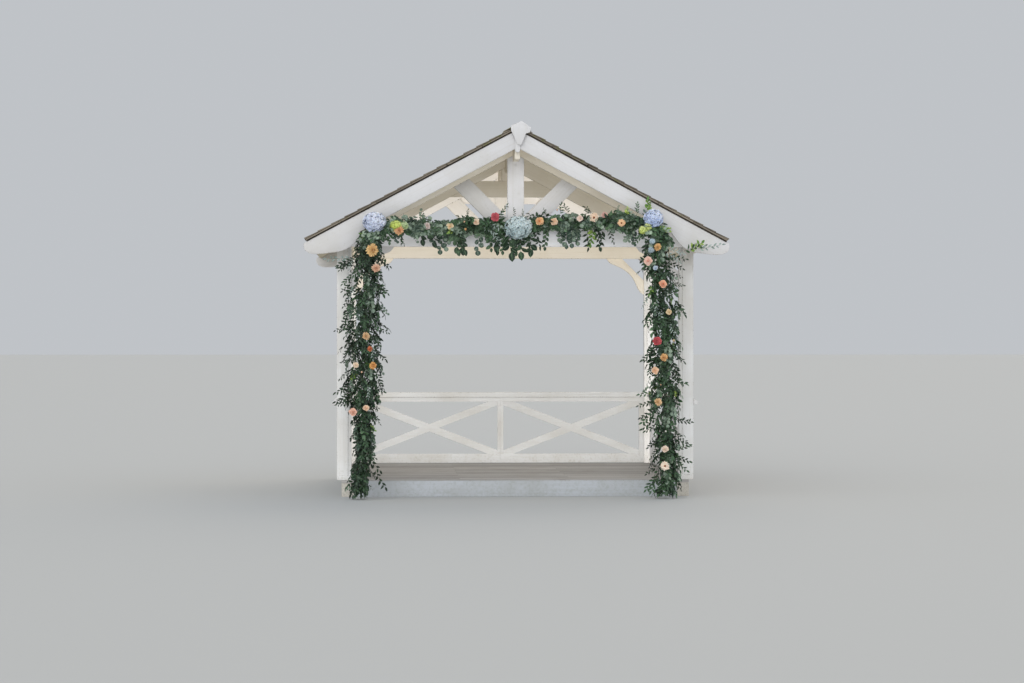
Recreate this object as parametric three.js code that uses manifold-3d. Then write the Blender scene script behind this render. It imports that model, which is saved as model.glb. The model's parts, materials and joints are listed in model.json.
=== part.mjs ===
// A garden wedding canopy: an open timber pavilion with a gabled shingle roof on a low deck, and a
// garland of flowers hung across its front. Sizes are millimetres. X runs to the right as seen from
// the front, Y to the back and Z up from the ground.
import * as THREE from "three";
import { mergeVertices } from "three/addons/utils/BufferGeometryUtils.js";
import Module from "manifold-3d";

const wasm = await Module();
wasm.setup();

// Play between pieces that touch.
const play = 0.3;

const deck = {
  top: 150,
  board: 28,
  halfWidth: 1562,
  halfDepth: 1556,
  rimWidth: 110,
  fasciaThickness: 25,
  fasciaDrop: 8,
  bearerWidth: 75,
  bearerX: 500,
};
const post = {
  outer: 1605,
  face: 1550,
  width: 130,
  boardWidth: 100,
  depth: 100,
  stopSetback: 12,
  arrisWidth: 32,
  arrisDepth: 8,
  shoe: { outer: 1590, frontInner: 1445, lap: 6, height: 40 },
};
const beam = { under: deck.top + 2095, top: deck.top + 2265, plateWidth: 100 };
const roof = {
  ridgeTop: deck.top + 3118,
  pitch: THREE.MathUtils.degToRad(28.1),
  boarding: 20,
  eaves: 1862,
};
const truss = {
  thickness: 60,
  rafter: 148,
  width: 150,
  kingWidth: { front: 150, mid: 110, back: 110 },
  centres: { front: -1500, mid: 0, back: 1500 },
  strutAngle: THREE.MathUtils.degToRad(45),
  ridge: { width: 48, under: deck.top + 2862 },
  midCollar: { under: deck.top + 2632, top: deck.top + 2786 },
  backCollar: { under: deck.top + 2656, top: deck.top + 2806, board: 32 },
};
const barge = { face: 1850, thickness: 30, depth: 140, noseX: 1890 };
const shingle = { eaves: 1872, verge: 1865, courses: 16, butt: 40, head: 25 };
const cap = { reach: 126, thickness: 16 };
const finial = {
  centreX: 25,
  centreZ: deck.top + 3089,
  tilt: THREE.MathUtils.degToRad(5),
  thickness: 20,
  tongue: { halfWidth: 23, top: deck.top + 3040, bottom: deck.top + 2916 },
};
const brace = { thickness: 40 };
const rail = {
  thickness: 50,
  boardThickness: 25,
  boardWidth: 70,
  bottomLow: deck.top + 6,
  bottomHigh: deck.top + 96,
  topLow: deck.top + 630,
  topHigh: deck.top + 676,
  stile: 50,
  meetingStile: 30,
  bite: 6,
};
const handrail = {
  under: rail.topHigh + play,
  thickness: 50,
  slopeEdge: 24,
  outer: 1648,
  inner: 1500,
  slopeFrom: 1600,
};
const garland = {
  height: deck.top + 2261,
  legX: { left: -1318, right: 1286 },
  hangDepth: 180,
  cornerHalfHeight: 160,
};

// The garland stands further forward than anything stands back, so the whole is moved back until
// the box around it is centred on the frame.
const finialFace = shingle.verge + play + finial.thickness;
const garlandFace = barge.face + play + garland.hangDepth;
const shiftY = (garlandFace - finialFace) / 2;

const fall = Math.tan(roof.pitch);

// Height at x of the line that lies `below` the top of the roof boarding, square to the slope.
function slopeZ(x, below = 0) {
  return roof.ridgeTop - fall * Math.abs(x) - below / Math.cos(roof.pitch);
}

// The x at which that line comes down to the height z.
function slopeX(z, below = 0) {
  return (roof.ridgeTop - below / Math.cos(roof.pitch) - z) / fall;
}

const underBoarding = roof.boarding + play;
const underRafter = roof.boarding + truss.rafter;

function finish(color, roughness) {
  return new THREE.MeshStandardMaterial({ color, roughness, metalness: 0 });
}

const whitePaint = finish(0xdcdde0, 0.55);
const creamPaint = finish(0xe4d9c8, 0.6);
const weatheredBoard = finish(0x968e87, 0.85);
const oldShingle = finish(0x5f584e, 0.95);
const leafGreen = finish(0x3f5a40, 0.8);

const canopy = new THREE.Group();
canopy.position.y = shiftY;

function addPiece(name, geometry, material) {
  const mesh = new THREE.Mesh(geometry, material);
  mesh.name = name;
  canopy.add(mesh);
}

function box(x0, x1, y0, y1, z0, z1) {
  const geometry = new THREE.BoxGeometry(x1 - x0, y1 - y0, z1 - z0);
  return geometry.translate((x0 + x1) / 2, (y0 + y1) / 2, (z0 + z1) / 2);
}

function shapeOf(points) {
  return new THREE.Shape(points.map(([a, b]) => new THREE.Vector2(a, b)));
}

function extruded(shape, length) {
  return new THREE.ExtrudeGeometry(shape, { depth: length, bevelEnabled: false });
}

// A board cut to an outline in X and Z, lying between y0 and y1.
function boardXZ(points, y0, y1) {
  return extruded(shapeOf(points), y1 - y0).rotateX(Math.PI / 2).translate(0, y1, 0);
}

// A slab cut to an outline in X and Y, lying between z0 and z1.
function slabXY(points, z0, z1) {
  return extruded(shapeOf(points), z1 - z0).translate(0, 0, z0);
}

function toSolid(geometry) {
  const bare = geometry.clone();
  bare.deleteAttribute("normal");
  bare.deleteAttribute("uv");
  const merged = mergeVertices(bare, 1e-3);
  return new wasm.Manifold(
    new wasm.Mesh({
      numProp: 3,
      vertProperties: new Float32Array(merged.attributes.position.array),
      triVerts: new Uint32Array(merged.index.array),
    }),
  );
}

function toGeometry(solid) {
  const mesh = solid.getMesh();
  const geometry = new THREE.BufferGeometry();
  geometry.setAttribute("position", new THREE.BufferAttribute(mesh.vertProperties, 3));
  geometry.setIndex(new THREE.BufferAttribute(mesh.triVerts, 1));
  geometry.computeVertexNormals();
  return geometry;
}

function joined(geometries) {
  return toGeometry(geometries.map(toSolid).reduce((all, next) => all.add(next)));
}

// Runs make(side, name) for the right side, where side is 1, and for the left side, where it is -1.
function bothSides(make) {
  make(-1, "left");
  make(1, "right");
}

// Runs make(end, name) for the front, where end is -1, and for the back, where it is 1.
function bothEnds(make) {
  make(-1, "front");
  make(1, "back");
}

// Deck: boards over two rim beams and two bearers, with a fascia between the rim beams' ends.
function addDeck() {
  const under = deck.top - deck.board;
  const rimInner = deck.halfWidth - deck.rimWidth;
  const notchY = deck.halfDepth - deck.fasciaThickness - play;
  const corner = [
    [rimInner, notchY],
    [rimInner, deck.halfDepth],
    [deck.halfWidth, deck.halfDepth],
  ];
  const turned = corner.slice().reverse();
  const floor = [
    ...corner,
    ...turned.map(([x, y]) => [x, -y]),
    ...corner.map(([x, y]) => [-x, -y]),
    ...turned.map(([x, y]) => [-x, y]),
  ];
  addPiece("deck_floor", slabXY(floor, under, deck.top), weatheredBoard);
  bothEnds((end, name) => {
    const outer = end * deck.halfDepth;
    const inner = end * (deck.halfDepth - deck.fasciaThickness);
    const [low, high] = [Math.min(outer, inner), Math.max(outer, inner)];
    const top = deck.top - deck.fasciaDrop;
    const reach = rimInner - play;
    addPiece("deck_fascia_" + name, box(-reach, reach, low, high, 0, top), whitePaint);
  });
  bothSides((side, name) => {
    const [a, b] = [side * rimInner, side * deck.halfWidth].sort((p, q) => p - q);
    const rim = box(a, b, -deck.halfDepth, deck.halfDepth, 0, under - play);
    addPiece("deck_rim_beam_" + name, rim, weatheredBoard);
    const middle = side * deck.bearerX;
    const half = deck.bearerWidth / 2;
    const reach = notchY;
    const bearer = box(middle - half, middle + half, -reach, reach, 0, under - play);
    addPiece("deck_bearer_" + name, bearer, weatheredBoard);
  });
}

// A post with an eased outer arris, a stop batten on its inner side and a shoe at its foot. The
// front shoes reach a little way in from their posts.
function postGeometry(side, end) {
  const rear = post.depth - post.stopSetback;
  const section = [
    [0, post.arrisDepth],
    [post.arrisWidth, 0],
    [post.boardWidth, 0],
    [post.boardWidth, post.stopSetback],
    [post.width, post.stopSetback],
    [post.width, rear],
    [post.boardWidth, rear],
    [post.boardWidth, post.depth],
    [0, post.depth],
  ].map(([inward, back]) => [side * (post.outer - inward), end * (post.face - back)]);
  const foot = deck.top + play;
  const shaft = slabXY(section, foot, beam.under - play);
  const { outer, frontInner, lap, height } = post.shoe;
  const inner = end < 0 ? frontInner : post.outer - post.width;
  const [x0, x1] = [side * inner, side * outer].sort((p, q) => p - q);
  const shoeY = [end * (post.face + lap), end * (post.face - post.depth)];
  const shoe = box(x0, x1, Math.min(...shoeY), Math.max(...shoeY), foot, foot + height);
  return joined([shaft, shoe]);
}

function addPosts() {
  bothEnds((end, endName) =>
    bothSides((side, sideName) =>
      addPiece("post_" + endName + "_" + sideName, postGeometry(side, end), whitePaint),
    ),
  );
}

// Wall plates run over the posts from barge board to barge board, and the tie beams lie between.
function addPlatesAndBeams() {
  const inner = post.outer - beam.plateWidth;
  const reach = barge.face - barge.thickness - play;
  bothSides((side, name) => {
    const outline = [
      [inner, beam.under],
      [post.outer, beam.under],
      [post.outer, slopeZ(post.outer, underBoarding)],
      [slopeX(beam.top, underBoarding), beam.top],
      [inner, beam.top],
    ].map(([x, z]) => [side * x, z]);
    addPiece("wall_plate_" + name, boardXZ(outline, -reach, reach), creamPaint);
  });
  const endX = inner - play;
  bothEnds((end, name) => {
    const ys = [end * post.face, end * (post.face - post.depth)];
    const tie = box(-endX, endX, Math.min(...ys), Math.max(...ys), beam.under, beam.top);
    addPiece("tie_beam_" + name, tie, end < 0 ? whitePaint : creamPaint);
  });
}

// A rafter that stands on the tie beam, or one that runs on to the inner face of the wall plate.
function rafterOutline(onTieBeam) {
  const ridgeX = truss.ridge.width / 2 + play;
  const seat = beam.top + play;
  const plateX = post.outer - beam.plateWidth - play;
  const foot = onTieBeam
    ? [[slopeX(seat, underRafter), seat]]
    : [
        [plateX, seat],
        [plateX, slopeZ(plateX, underRafter)],
      ];
  return [
    [ridgeX, slopeZ(ridgeX, underBoarding)],
    [slopeX(seat, underBoarding), seat],
    ...foot,
    [ridgeX, slopeZ(ridgeX, underRafter)],
  ];
}

// A king post from the height `low` up to the rafters, notched over the ridge board.
function kingPostOutline(low, width) {
  const half = width / 2;
  const notchX = truss.ridge.width / 2 + play;
  const notchZ = truss.ridge.under - play;
  const below = underRafter + play;
  const right = [
    [half, low],
    [half, slopeZ(half, below)],
    [notchX, slopeZ(notchX, below)],
    [notchX, notchZ],
  ];
  return [...right, ...right.map(([x, z]) => [-x, z]).reverse()];
}

// A strut that fans out from the king post's foot to the rafter, cut flat against all three.
function strutOutline(kingWidth) {
  const rise = Math.tan(truss.strutAngle);
  const middle = (beam.under + beam.top) / 2;
  const offset = truss.width / 2 / Math.cos(truss.strutAngle);
  const kingX = kingWidth / 2 + play;
  const seat = beam.top + play;
  const rafterZ = slopeZ(0, underRafter + play);
  const upperX = (rafterZ - middle - offset) / (rise + fall);
  const lowerX = (rafterZ - middle + offset) / (rise + fall);
  return [
    [kingX, seat],
    [(seat - middle + offset) / rise, seat],
    [lowerX, rafterZ - fall * lowerX],
    [upperX, rafterZ - fall * upperX],
    [kingX, middle + offset + rise * kingX],
  ];
}

function collarOutline(low, high, below) {
  const right = [
    [slopeX(low, below), low],
    [slopeX(high, below), high],
  ];
  return [...right, ...right.map(([x, z]) => [-x, z]).reverse()];
}

function addTrusses() {
  for (const [place, centre] of Object.entries(truss.centres)) {
    const y0 = centre - truss.thickness / 2;
    const y1 = centre + truss.thickness / 2;
    const atEnd = place !== "mid";
    const material = place === "front" ? whitePaint : creamPaint;
    const kingLow = (atEnd ? beam.top : truss.midCollar.top) + play;
    const kingWidth = truss.kingWidth[place];
    const king = kingPostOutline(kingLow, kingWidth);
    addPiece("king_post_" + place, boardXZ(king, y0, y1), material);
    bothSides((side, name) => {
      const cut = (outline) => boardXZ(outline.map(([x, z]) => [side * x, z]), y0, y1);
      addPiece("rafter_" + place + "_" + name, cut(rafterOutline(atEnd)), creamPaint);
      if (atEnd) addPiece("strut_" + place + "_" + name, cut(strutOutline(kingWidth)), material);
    });
  }
  addCollars();
}

// The middle collar lies between its rafters, and the back one is nailed to its truss's far side.
function addCollars() {
  const { under, top } = truss.midCollar;
  const half = truss.thickness / 2;
  const middle = boardXZ(collarOutline(under, top, underRafter + play), -half, half);
  addPiece("collar_mid", middle, creamPaint);
  const { under: low, top: high, board } = truss.backCollar;
  const y0 = truss.centres.back + half + play;
  const lapped = boardXZ(collarOutline(low, high, underBoarding), y0, y0 + board);
  addPiece("collar_back", lapped, creamPaint);
}

// The barge board's lower edge swells out near the eaves and turns up to the nose, here as
// distances out from the middle and heights over the deck.
const tailCurve = [
  [1345, 2236],
  [1400, 2168],
  [1460, 2095],
  [1550, 2043],
  [1690, 2020],
  [1800, 2014],
  [1858, 2030],
  [1888, 2062],
];

function bargeOutline() {
  const shape = new THREE.Shape();
  const start = play / 2;
  shape.moveTo(start, slopeZ(start, barge.depth));
  shape.lineTo(tailCurve[0][0], slopeZ(tailCurve[0][0], barge.depth));
  const rest = tailCurve.slice(1).map(([x, z]) => new THREE.Vector2(x, deck.top + z));
  shape.splineThru([...rest, new THREE.Vector2(barge.noseX, slopeZ(barge.noseX))]);
  shape.lineTo(start, slopeZ(start));
  return shape.getPoints(3).map((point) => [point.x, point.y]);
}

function finialOutline() {
  const kite = [
    [0, 105],
    [90, 55],
    [84, 12],
    [48, -2],
    [18, -105],
    [-18, -105],
    [-86, 16],
    [-90, 55],
  ];
  const cos = Math.cos(finial.tilt);
  const sin = Math.sin(finial.tilt);
  return kite.map(([u, v]) => [
    finial.centreX + u * cos + v * sin,
    finial.centreZ + v * cos - u * sin,
  ]);
}

// The strip behind the finial that covers the joint of the barge boards, with a round lower end.
function tongueOutline() {
  const { halfWidth, top, bottom } = finial.tongue;
  const steps = 6;
  const round = Array.from({ length: steps + 1 }, (_, i) => {
    const angle = Math.PI * (1 + i / steps);
    return [halfWidth * Math.cos(angle), bottom + halfWidth + halfWidth * Math.sin(angle)];
  });
  return [...round, [halfWidth, top], [-halfWidth, top]];
}

// Barge boards and finials, which stand in front of the roof's edges at both gables.
function addGables() {
  const outline = bargeOutline();
  bothEnds((end, endName) => {
    const between = (near, far) => [end * near, end * far].sort((p, q) => p - q);
    const [b0, b1] = between(barge.face - barge.thickness, barge.face);
    bothSides((side, sideName) => {
      const board = boardXZ(outline.map(([x, z]) => [side * x, z]), b0, b1);
      addPiece("barge_board_" + endName + "_" + sideName, board, whitePaint);
    });
    const [t0, t1] = between(barge.face + play, shingle.verge + play);
    const [f0, f1] = between(shingle.verge + play, finialFace);
    const facing = (points) => points.map(([x, z]) => [-end * x, z]);
    const plate = boardXZ(facing(finialOutline()), f0, f1);
    const tongue = boardXZ(facing(tongueOutline()), t0, t1);
    addPiece("finial_" + endName, joined([plate, tongue]), whitePaint);
  });
}

// The stepped outline of one roof slope's lapped shingle courses, from the ridge to the eaves.
function shingleOutline() {
  const cos = Math.cos(roof.pitch);
  const sin = Math.sin(roof.pitch);
  const onSlope = (s, h) => [s * cos + h * sin, roof.ridgeTop - s * sin + h * cos];
  const length = shingle.eaves / cos;
  const exposure = length / shingle.courses;
  const start = play / 2;
  const points = [
    [start, slopeZ(start, -play)],
    onSlope(length, play),
  ];
  for (let i = 0; i < shingle.courses; i++) {
    const butt = length - i * exposure;
    points.push(onSlope(butt, shingle.butt));
    if (i < shingle.courses - 1) points.push(onSlope(butt - exposure, shingle.head));
  }
  points.push([start, slopeZ(start, -shingle.head)]);
  return points;
}

function addRoof() {
  const reach = barge.face - barge.thickness - play;
  const start = play / 2;
  bothSides((side, name) => {
    const mirrored = (points) => points.map(([x, z]) => [side * x, z]);
    const boarding = [
      [start, slopeZ(start)],
      [roof.eaves, slopeZ(roof.eaves)],
      [roof.eaves, slopeZ(roof.eaves, roof.boarding)],
      [start, slopeZ(start, roof.boarding)],
    ];
    addPiece("roof_boarding_" + name, boardXZ(mirrored(boarding), -reach, reach), creamPaint);
    const shingles = boardXZ(mirrored(shingleOutline()), -shingle.verge, shingle.verge);
    addPiece("roof_shingles_" + name, shingles, oldShingle);
  });
  const half = truss.ridge.width / 2;
  const ridgeZ = slopeZ(half, underBoarding);
  const ridge = box(-half, half, -reach, reach, truss.ridge.under, ridgeZ);
  addPiece("ridge_board", ridge, creamPaint);
  const inside = -(shingle.butt + play);
  const outside = inside - cap.thickness;
  const low = [-cap.reach, 0, cap.reach].map((x) => [x, slopeZ(x, inside)]);
  const high = [cap.reach, 0, -cap.reach].map((x) => [x, slopeZ(x, outside)]);
  const capBoard = boardXZ([...low, ...high], -shingle.verge, shingle.verge);
  addPiece("ridge_cap", capBoard, oldShingle);
}

// A curved bracket in the corner of post and tie beam, as distances from that corner. Its inner
// edge is a hollow curve between two small shoulders.
function braceOutline() {
  const shape = new THREE.Shape();
  shape.moveTo(play, -224);
  shape.lineTo(224, -play);
  shape.lineTo(385, -play);
  shape.lineTo(350, -45);
  shape.splineThru([
    new THREE.Vector2(280, -74),
    new THREE.Vector2(206, -112),
    new THREE.Vector2(140, -166),
    new THREE.Vector2(97, -228),
    new THREE.Vector2(66, -300),
  ]);
  shape.lineTo(35, -346);
  shape.lineTo(play, -368);
  return shape.getPoints(3).map((point) => [point.x, point.y]);
}

function addBraces() {
  const cornerX = post.outer - post.width;
  const half = brace.thickness / 2;
  bothEnds((end, endName) =>
    bothSides((side, sideName) => {
      const outline = braceOutline().map(([x, z]) => [side * (cornerX - x), beam.under + z]);
      const centre = end * (post.face - post.depth / 2);
      const bracket = boardXZ(outline, centre - half, centre + half);
      addPiece("knee_brace_" + endName + "_" + sideName, bracket, whitePaint);
    }),
  );
}

// One crossing board of a bay, trimmed to the bay with a small bite into the bars around it.
function crossBoard(x0, x1, direction) {
  const height = rail.topLow - rail.bottomHigh;
  const width = x1 - x0;
  const long = Math.hypot(width, height) * 1.2;
  const angle = direction * Math.atan2(height, width);
  const half = rail.boardThickness / 2;
  const board = box(-long / 2, long / 2, -half, half, -rail.boardWidth / 2, rail.boardWidth / 2);
  board.rotateY(-angle);
  board.translate((x0 + x1) / 2, 0, (rail.topLow + rail.bottomHigh) / 2);
  const low = rail.bottomHigh - rail.bite;
  const high = rail.topLow + rail.bite;
  const bay = box(x0 - rail.bite, x1 + rail.bite, -half, half, low, high);
  return toSolid(board).intersect(toSolid(bay));
}

// A balustrade panel of one crossed bay. It stands along X from the middle of its side, where its
// stile meets the next panel's, to the stile at the post.
function balustradePanel(end) {
  const start = play / 2;
  const half = rail.thickness / 2;
  const bar = (x0, x1, z0, z1) => toSolid(box(x0, x1, -half, half, z0, z1));
  const innerX = start + rail.meetingStile;
  const outerX = end - rail.stile;
  const bars = [
    bar(start, end, rail.bottomLow, rail.bottomHigh),
    bar(start, end, rail.topLow, rail.topHigh),
    bar(start, innerX, rail.bottomLow, rail.topHigh),
    bar(outerX, end, rail.bottomLow, rail.topHigh),
    crossBoard(innerX, outerX, 1),
    crossBoard(innerX, outerX, -1),
  ];
  return toGeometry(bars.reduce((all, next) => all.add(next)));
}

// The side handrails are wider than the posts and are notched round them.
function sideHandrail(side) {
  const low = handrail.under;
  const high = low + handrail.thickness;
  const profile = [
    [handrail.inner, low],
    [handrail.outer, low],
    [handrail.outer, low + handrail.slopeEdge],
    [handrail.slopeFrom, high],
    [handrail.inner + 8, high],
    [handrail.inner, high - 8],
  ].map(([x, z]) => [side * x, z]);
  let board = toSolid(boardXZ(profile, -post.face, post.face));
  const near = side * (handrail.inner - 40);
  const far = side * (post.outer + play);
  for (const end of [-1, 1]) {
    const ys = [end * (post.face + 10), end * (post.face - post.depth - play)];
    const [y0, y1] = ys.sort((p, q) => p - q);
    const notch = box(Math.min(near, far), Math.max(near, far), y0, y1, low - 10, high + 10);
    board = board.subtract(toSolid(notch));
  }
  return toGeometry(board);
}

function addBalustrades() {
  const backEnd = post.outer - post.width - play;
  const backY = post.face - post.depth / 2;
  const low = handrail.under;
  const high = low + handrail.thickness;
  const railY = post.face - post.depth;
  addPiece("handrail_back", box(-backEnd, backEnd, railY, post.face, low, high), creamPaint);
  const sideEnd = post.face - post.depth - play;
  const sideX = post.outer - rail.thickness;
  bothSides((side, sideName) => {
    const turn = side > 0 ? 0 : Math.PI;
    const backPanel = balustradePanel(backEnd).rotateZ(turn).translate(0, backY, 0);
    addPiece("balustrade_back_" + sideName, backPanel, creamPaint);
    bothEnds((end, endName) => {
      const panel = balustradePanel(sideEnd).rotateZ((end * Math.PI) / 2);
      panel.translate(side * sideX, 0, 0);
      addPiece("balustrade_" + sideName + "_" + endName, panel, whitePaint);
    });
    addPiece("handrail_" + sideName, sideHandrail(side), whitePaint);
  });
}

// A closed skin over rings of equally many points, each ring anticlockwise as seen from its far end.
function loft(rings) {
  const count = rings[0].length;
  const positions = rings.flat(2);
  const faces = [];
  for (let r = 0; r + 1 < rings.length; r++) {
    for (let k = 0; k < count; k++) {
      const a = r * count + k;
      const b = r * count + ((k + 1) % count);
      faces.push(a, b, b + count, a, b + count, a + count);
    }
  }
  const last = (rings.length - 1) * count;
  for (let k = 1; k + 1 < count; k++) {
    faces.push(0, k + 1, k);
    faces.push(last, last + k, last + k + 1);
  }
  const geometry = new THREE.BufferGeometry();
  geometry.setAttribute("position", new THREE.Float32BufferAttribute(positions, 3));
  geometry.setIndex(faces);
  geometry.computeVertexNormals();
  return geometry;
}

// Points of a half-round section, flat on its back: [across, out], from -across round to +across.
function halfRound(halfAcross, out) {
  const steps = 8;
  return Array.from({ length: steps + 1 }, (_, i) => {
    const angle = -Math.PI / 2 + (Math.PI * i) / steps;
    return [halfAcross * Math.sin(angle), out * Math.cos(angle)];
  });
}

// The top run is tied along the tie beam and comes forward under the barge boards at both ends,
// as stations of distance from the middle, how far forward of the beam, half height and depth.
const runStations = [
  [0, 0, 150, 170],
  [350, 0, 140, 165],
  [680, 0, 135, 165],
  [830, 60, 115, 170],
  [950, 175, 92, 175],
  [1080, 300, 92, 178],
  [1150, 300, 125, 180],
  [1250, 300, 160, 180],
  [1370, 300, 108, 165],
  [1430, 300, 78, 110],
];

function garlandRun() {
  const left = runStations.slice(1).reverse().map(([x, ...rest]) => [-x, ...rest]);
  const beamFace = -(post.face + play);
  const rings = [...left, ...runStations].map(([x, forward, halfHeight, depth]) =>
    halfRound(halfHeight, depth).map(([up, out]) => [
      x,
      beamFace - forward - out,
      garland.height + up,
    ]),
  );
  return loft(rings.map((ring) => ring.slice().reverse()));
}

// A leg hangs down the barge board's face to the ground, as stations of height, half width, depth.
const legStations = [
  [0, 62, 100],
  [70, 66, 110],
  [260, 112, 140],
  [620, 128, 150],
  [1100, 132, 150],
  [1600, 138, 155],
  [1950, 140, 160],
];

function garlandLeg(x) {
  const top = garland.height - garland.cornerHalfHeight - play;
  const back = -(barge.face + play);
  const stations = [...legStations, [top, 120, 150]];
  const rings = stations.map(([z, halfWidth, depth]) =>
    halfRound(halfWidth, depth).map(([across, out]) => [x + across, back - out, z]),
  );
  return loft(rings);
}

function addGarland() {
  addPiece("garland_top", garlandRun(), leafGreen);
  bothSides((side, name) => {
    addPiece("garland_" + name, garlandLeg(garland.legX[name]), leafGreen);
  });
}

addDeck();
addPosts();
addPlatesAndBeams();
addTrusses();
addRoof();
addGables();
addBraces();
addBalustrades();
addGarland();

export default canopy;
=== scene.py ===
# A garden wedding canopy: white-painted timber under a shingle roof, dressed with a flower garland.
import json
import math
import random
from functools import partial

import bmesh
import bpy
from mathutils import Euler, Matrix, Vector, noise


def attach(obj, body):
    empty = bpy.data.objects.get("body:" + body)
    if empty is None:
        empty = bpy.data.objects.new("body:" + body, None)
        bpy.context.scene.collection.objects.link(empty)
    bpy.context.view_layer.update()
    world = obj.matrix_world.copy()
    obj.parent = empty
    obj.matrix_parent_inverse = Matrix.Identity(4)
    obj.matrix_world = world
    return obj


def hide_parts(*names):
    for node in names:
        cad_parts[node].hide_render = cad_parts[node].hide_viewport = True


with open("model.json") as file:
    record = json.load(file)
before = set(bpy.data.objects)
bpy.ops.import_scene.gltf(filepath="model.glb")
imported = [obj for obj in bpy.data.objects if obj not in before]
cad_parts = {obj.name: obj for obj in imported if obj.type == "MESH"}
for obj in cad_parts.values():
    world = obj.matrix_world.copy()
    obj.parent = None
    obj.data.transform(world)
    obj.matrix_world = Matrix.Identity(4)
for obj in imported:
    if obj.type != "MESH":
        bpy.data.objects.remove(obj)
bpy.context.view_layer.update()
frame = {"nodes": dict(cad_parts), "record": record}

scene = bpy.context.scene
mm = 0.001
slotOfNode = {part["node"]: part["material_slot"] for part in frame["record"]["subparts"]}

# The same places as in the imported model, in metres. Y is already moved back by shiftY.
shiftY = 0.0725
deckTop = 0.150
pitch = math.radians(28.1)
ridgeTop = deckTop + 3.118
roofReach = 1.8197
vergeReach = 1.865
bargeFace = -1.850 + shiftY
beamFace = -1.550 + shiftY


def linearColour(hexCode):
    parts = [int(hexCode[i:i + 2], 16) / 255 for i in (1, 3, 5)]
    linear = [p / 12.92 if p <= 0.04045 else ((p + 0.055) / 1.055) ** 2.4 for p in parts]
    return (*linear, 1.0)


def slopeZ(x, above=0.0):
    return ridgeTop - math.tan(pitch) * abs(x) + above / math.cos(pitch)


camera = {
    "place": (-1.13, -23.1775, 1.36),
    "yaw": 2.89,
    "pitch": 0.083,
    "lens": 85.0,
    "filmWidth": 36.0,
    "frameWidth": 1024,
    "frameHeight": 683,
    "clipEnd": 900,
    "gableScale": 113,    # pixels of the frame to a metre of the gable
}


def makeCamera():
    data = bpy.data.cameras.new("frontCamera")
    data.lens = camera["lens"]
    data.sensor_width = camera["filmWidth"]
    data.clip_end = camera["clipEnd"]
    eye = bpy.data.objects.new("frontCamera", data)
    eye.location = camera["place"]
    eye.rotation_euler = Euler((math.radians(90 + camera["pitch"]), 0, math.radians(-camera["yaw"])))
    scene.collection.objects.link(eye)
    scene.camera = eye
    return eye


eye = makeCamera()
print("camera set")


# The point of the upright plane y = planeY that shows at (px, py) in the frame.
def seenAt(px, py, planeY):
    focal = camera["lens"] / camera["filmWidth"] * camera["frameWidth"]
    across = (px - camera["frameWidth"] / 2) / focal
    rise = (camera["frameHeight"] / 2 - py) / focal
    aim = eye.rotation_euler.to_matrix() @ Vector((across, rise, -1))
    start = Vector(camera["place"])
    return start + aim * ((planeY - start.y) / aim.y)


studio = {
    "floor": "#b7babb",
    "sky": "#dfe3e8",
    "skyStrength": 0.71,
    "floorSize": 320,
    "lampDistance": 12,
    # each light is a broad soft source: the way it shines, its spread in degrees, strength and colour
    "lights": {
        "front": ((0.18, 1.0, -0.20), 60, 1.27, "#fbfaf8"),
        "key": ((0.50, 0.60, -0.75), 70, 0.60, "#fdfaf4"),
        "side": ((-0.85, 0.35, -0.40), 80, 0.40, "#e6edfb"),
        "back": ((-0.35, -0.75, -0.60), 60, 1.0, "#ffeed6"),
        "near": ((0.0, 0.80, 0.60), 80, 0.95, "#fff6ea"),
        "far": ((0.05, 1.0, 0.17), 14, 1.55, "#fffaf5"),
        "inner": ((0.0, 1.0, 0.10), 30, 0.68, "#fffdf9"),
        "glow": ((0.0, 1.0, 0.25), 60, 0.7, "#f6f8ff"),
    },
    # the last four are light thrown up from below, which the floor doesn't stop. Only pieces with
    # one of these words in their names catch it or stop it: near by that is everything, and from far
    # off the timbers deep under the roof, which it reaches past the ones in front
    "caught": {
        "near": ("",),
        "far": ("tie_beam_back", "post_back", "strut_back", "rafter_back", "collar_back", "knee_brace_back"),
        "inner": ("_mid", "rafter_front", "balustrade_back", "handrail_back"),
        "glow": ("king_post_front", "tie_beam_front"),
    },
}
limitedLights = []


# Adds a node with its settings and its links, which are for its first inputs in order, or for named
# or numbered ones. A colour is given as hex, a ramp as stops and a map range as range, from and to.
# A link from a node comes from its first output in use.
def addNode(tree, kind, settings, links=()):
    node = tree.nodes.new("ShaderNode" + kind)
    for key, value in settings.items():
        if key == "stops":
            for element, (position, colour) in zip(node.color_ramp.elements, value):
                element.position = position
                element.color = linearColour(colour)
        elif key == "range":
            for socket, number in zip(node.inputs[1:5], value):
                socket.default_value = number
        elif isinstance(key, str) and hasattr(node, key):
            setattr(node, key, value)
        else:
            isColour = isinstance(value, str) and value.startswith("#")
            node.inputs[key].default_value = linearColour(value) if isColour else value
    for key, source in links.items() if isinstance(links, dict) else enumerate(links):
        if isinstance(source, bpy.types.Node):
            source = next(output for output in source.outputs if output.enabled)
        tree.links.new(source, node.inputs[key])
    return node


def newMaterial(name):
    material = bpy.data.materials.new(name)
    material.use_nodes = True
    material.node_tree.nodes.clear()
    return material, partial(addNode, material.node_tree)


# Ends a material with its surface, fed by the nodes that give its colour, roughness and bump.
def addSurface(add, settings, colour=None, rough=None, bump=None):
    sources = {"Base Color": colour, "Roughness": rough, "Normal": bump}
    shader = add("BsdfPrincipled", settings, {key: node for key, node in sources.items() if node})
    add("OutputMaterial", {}, {"Surface": shader})


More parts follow.
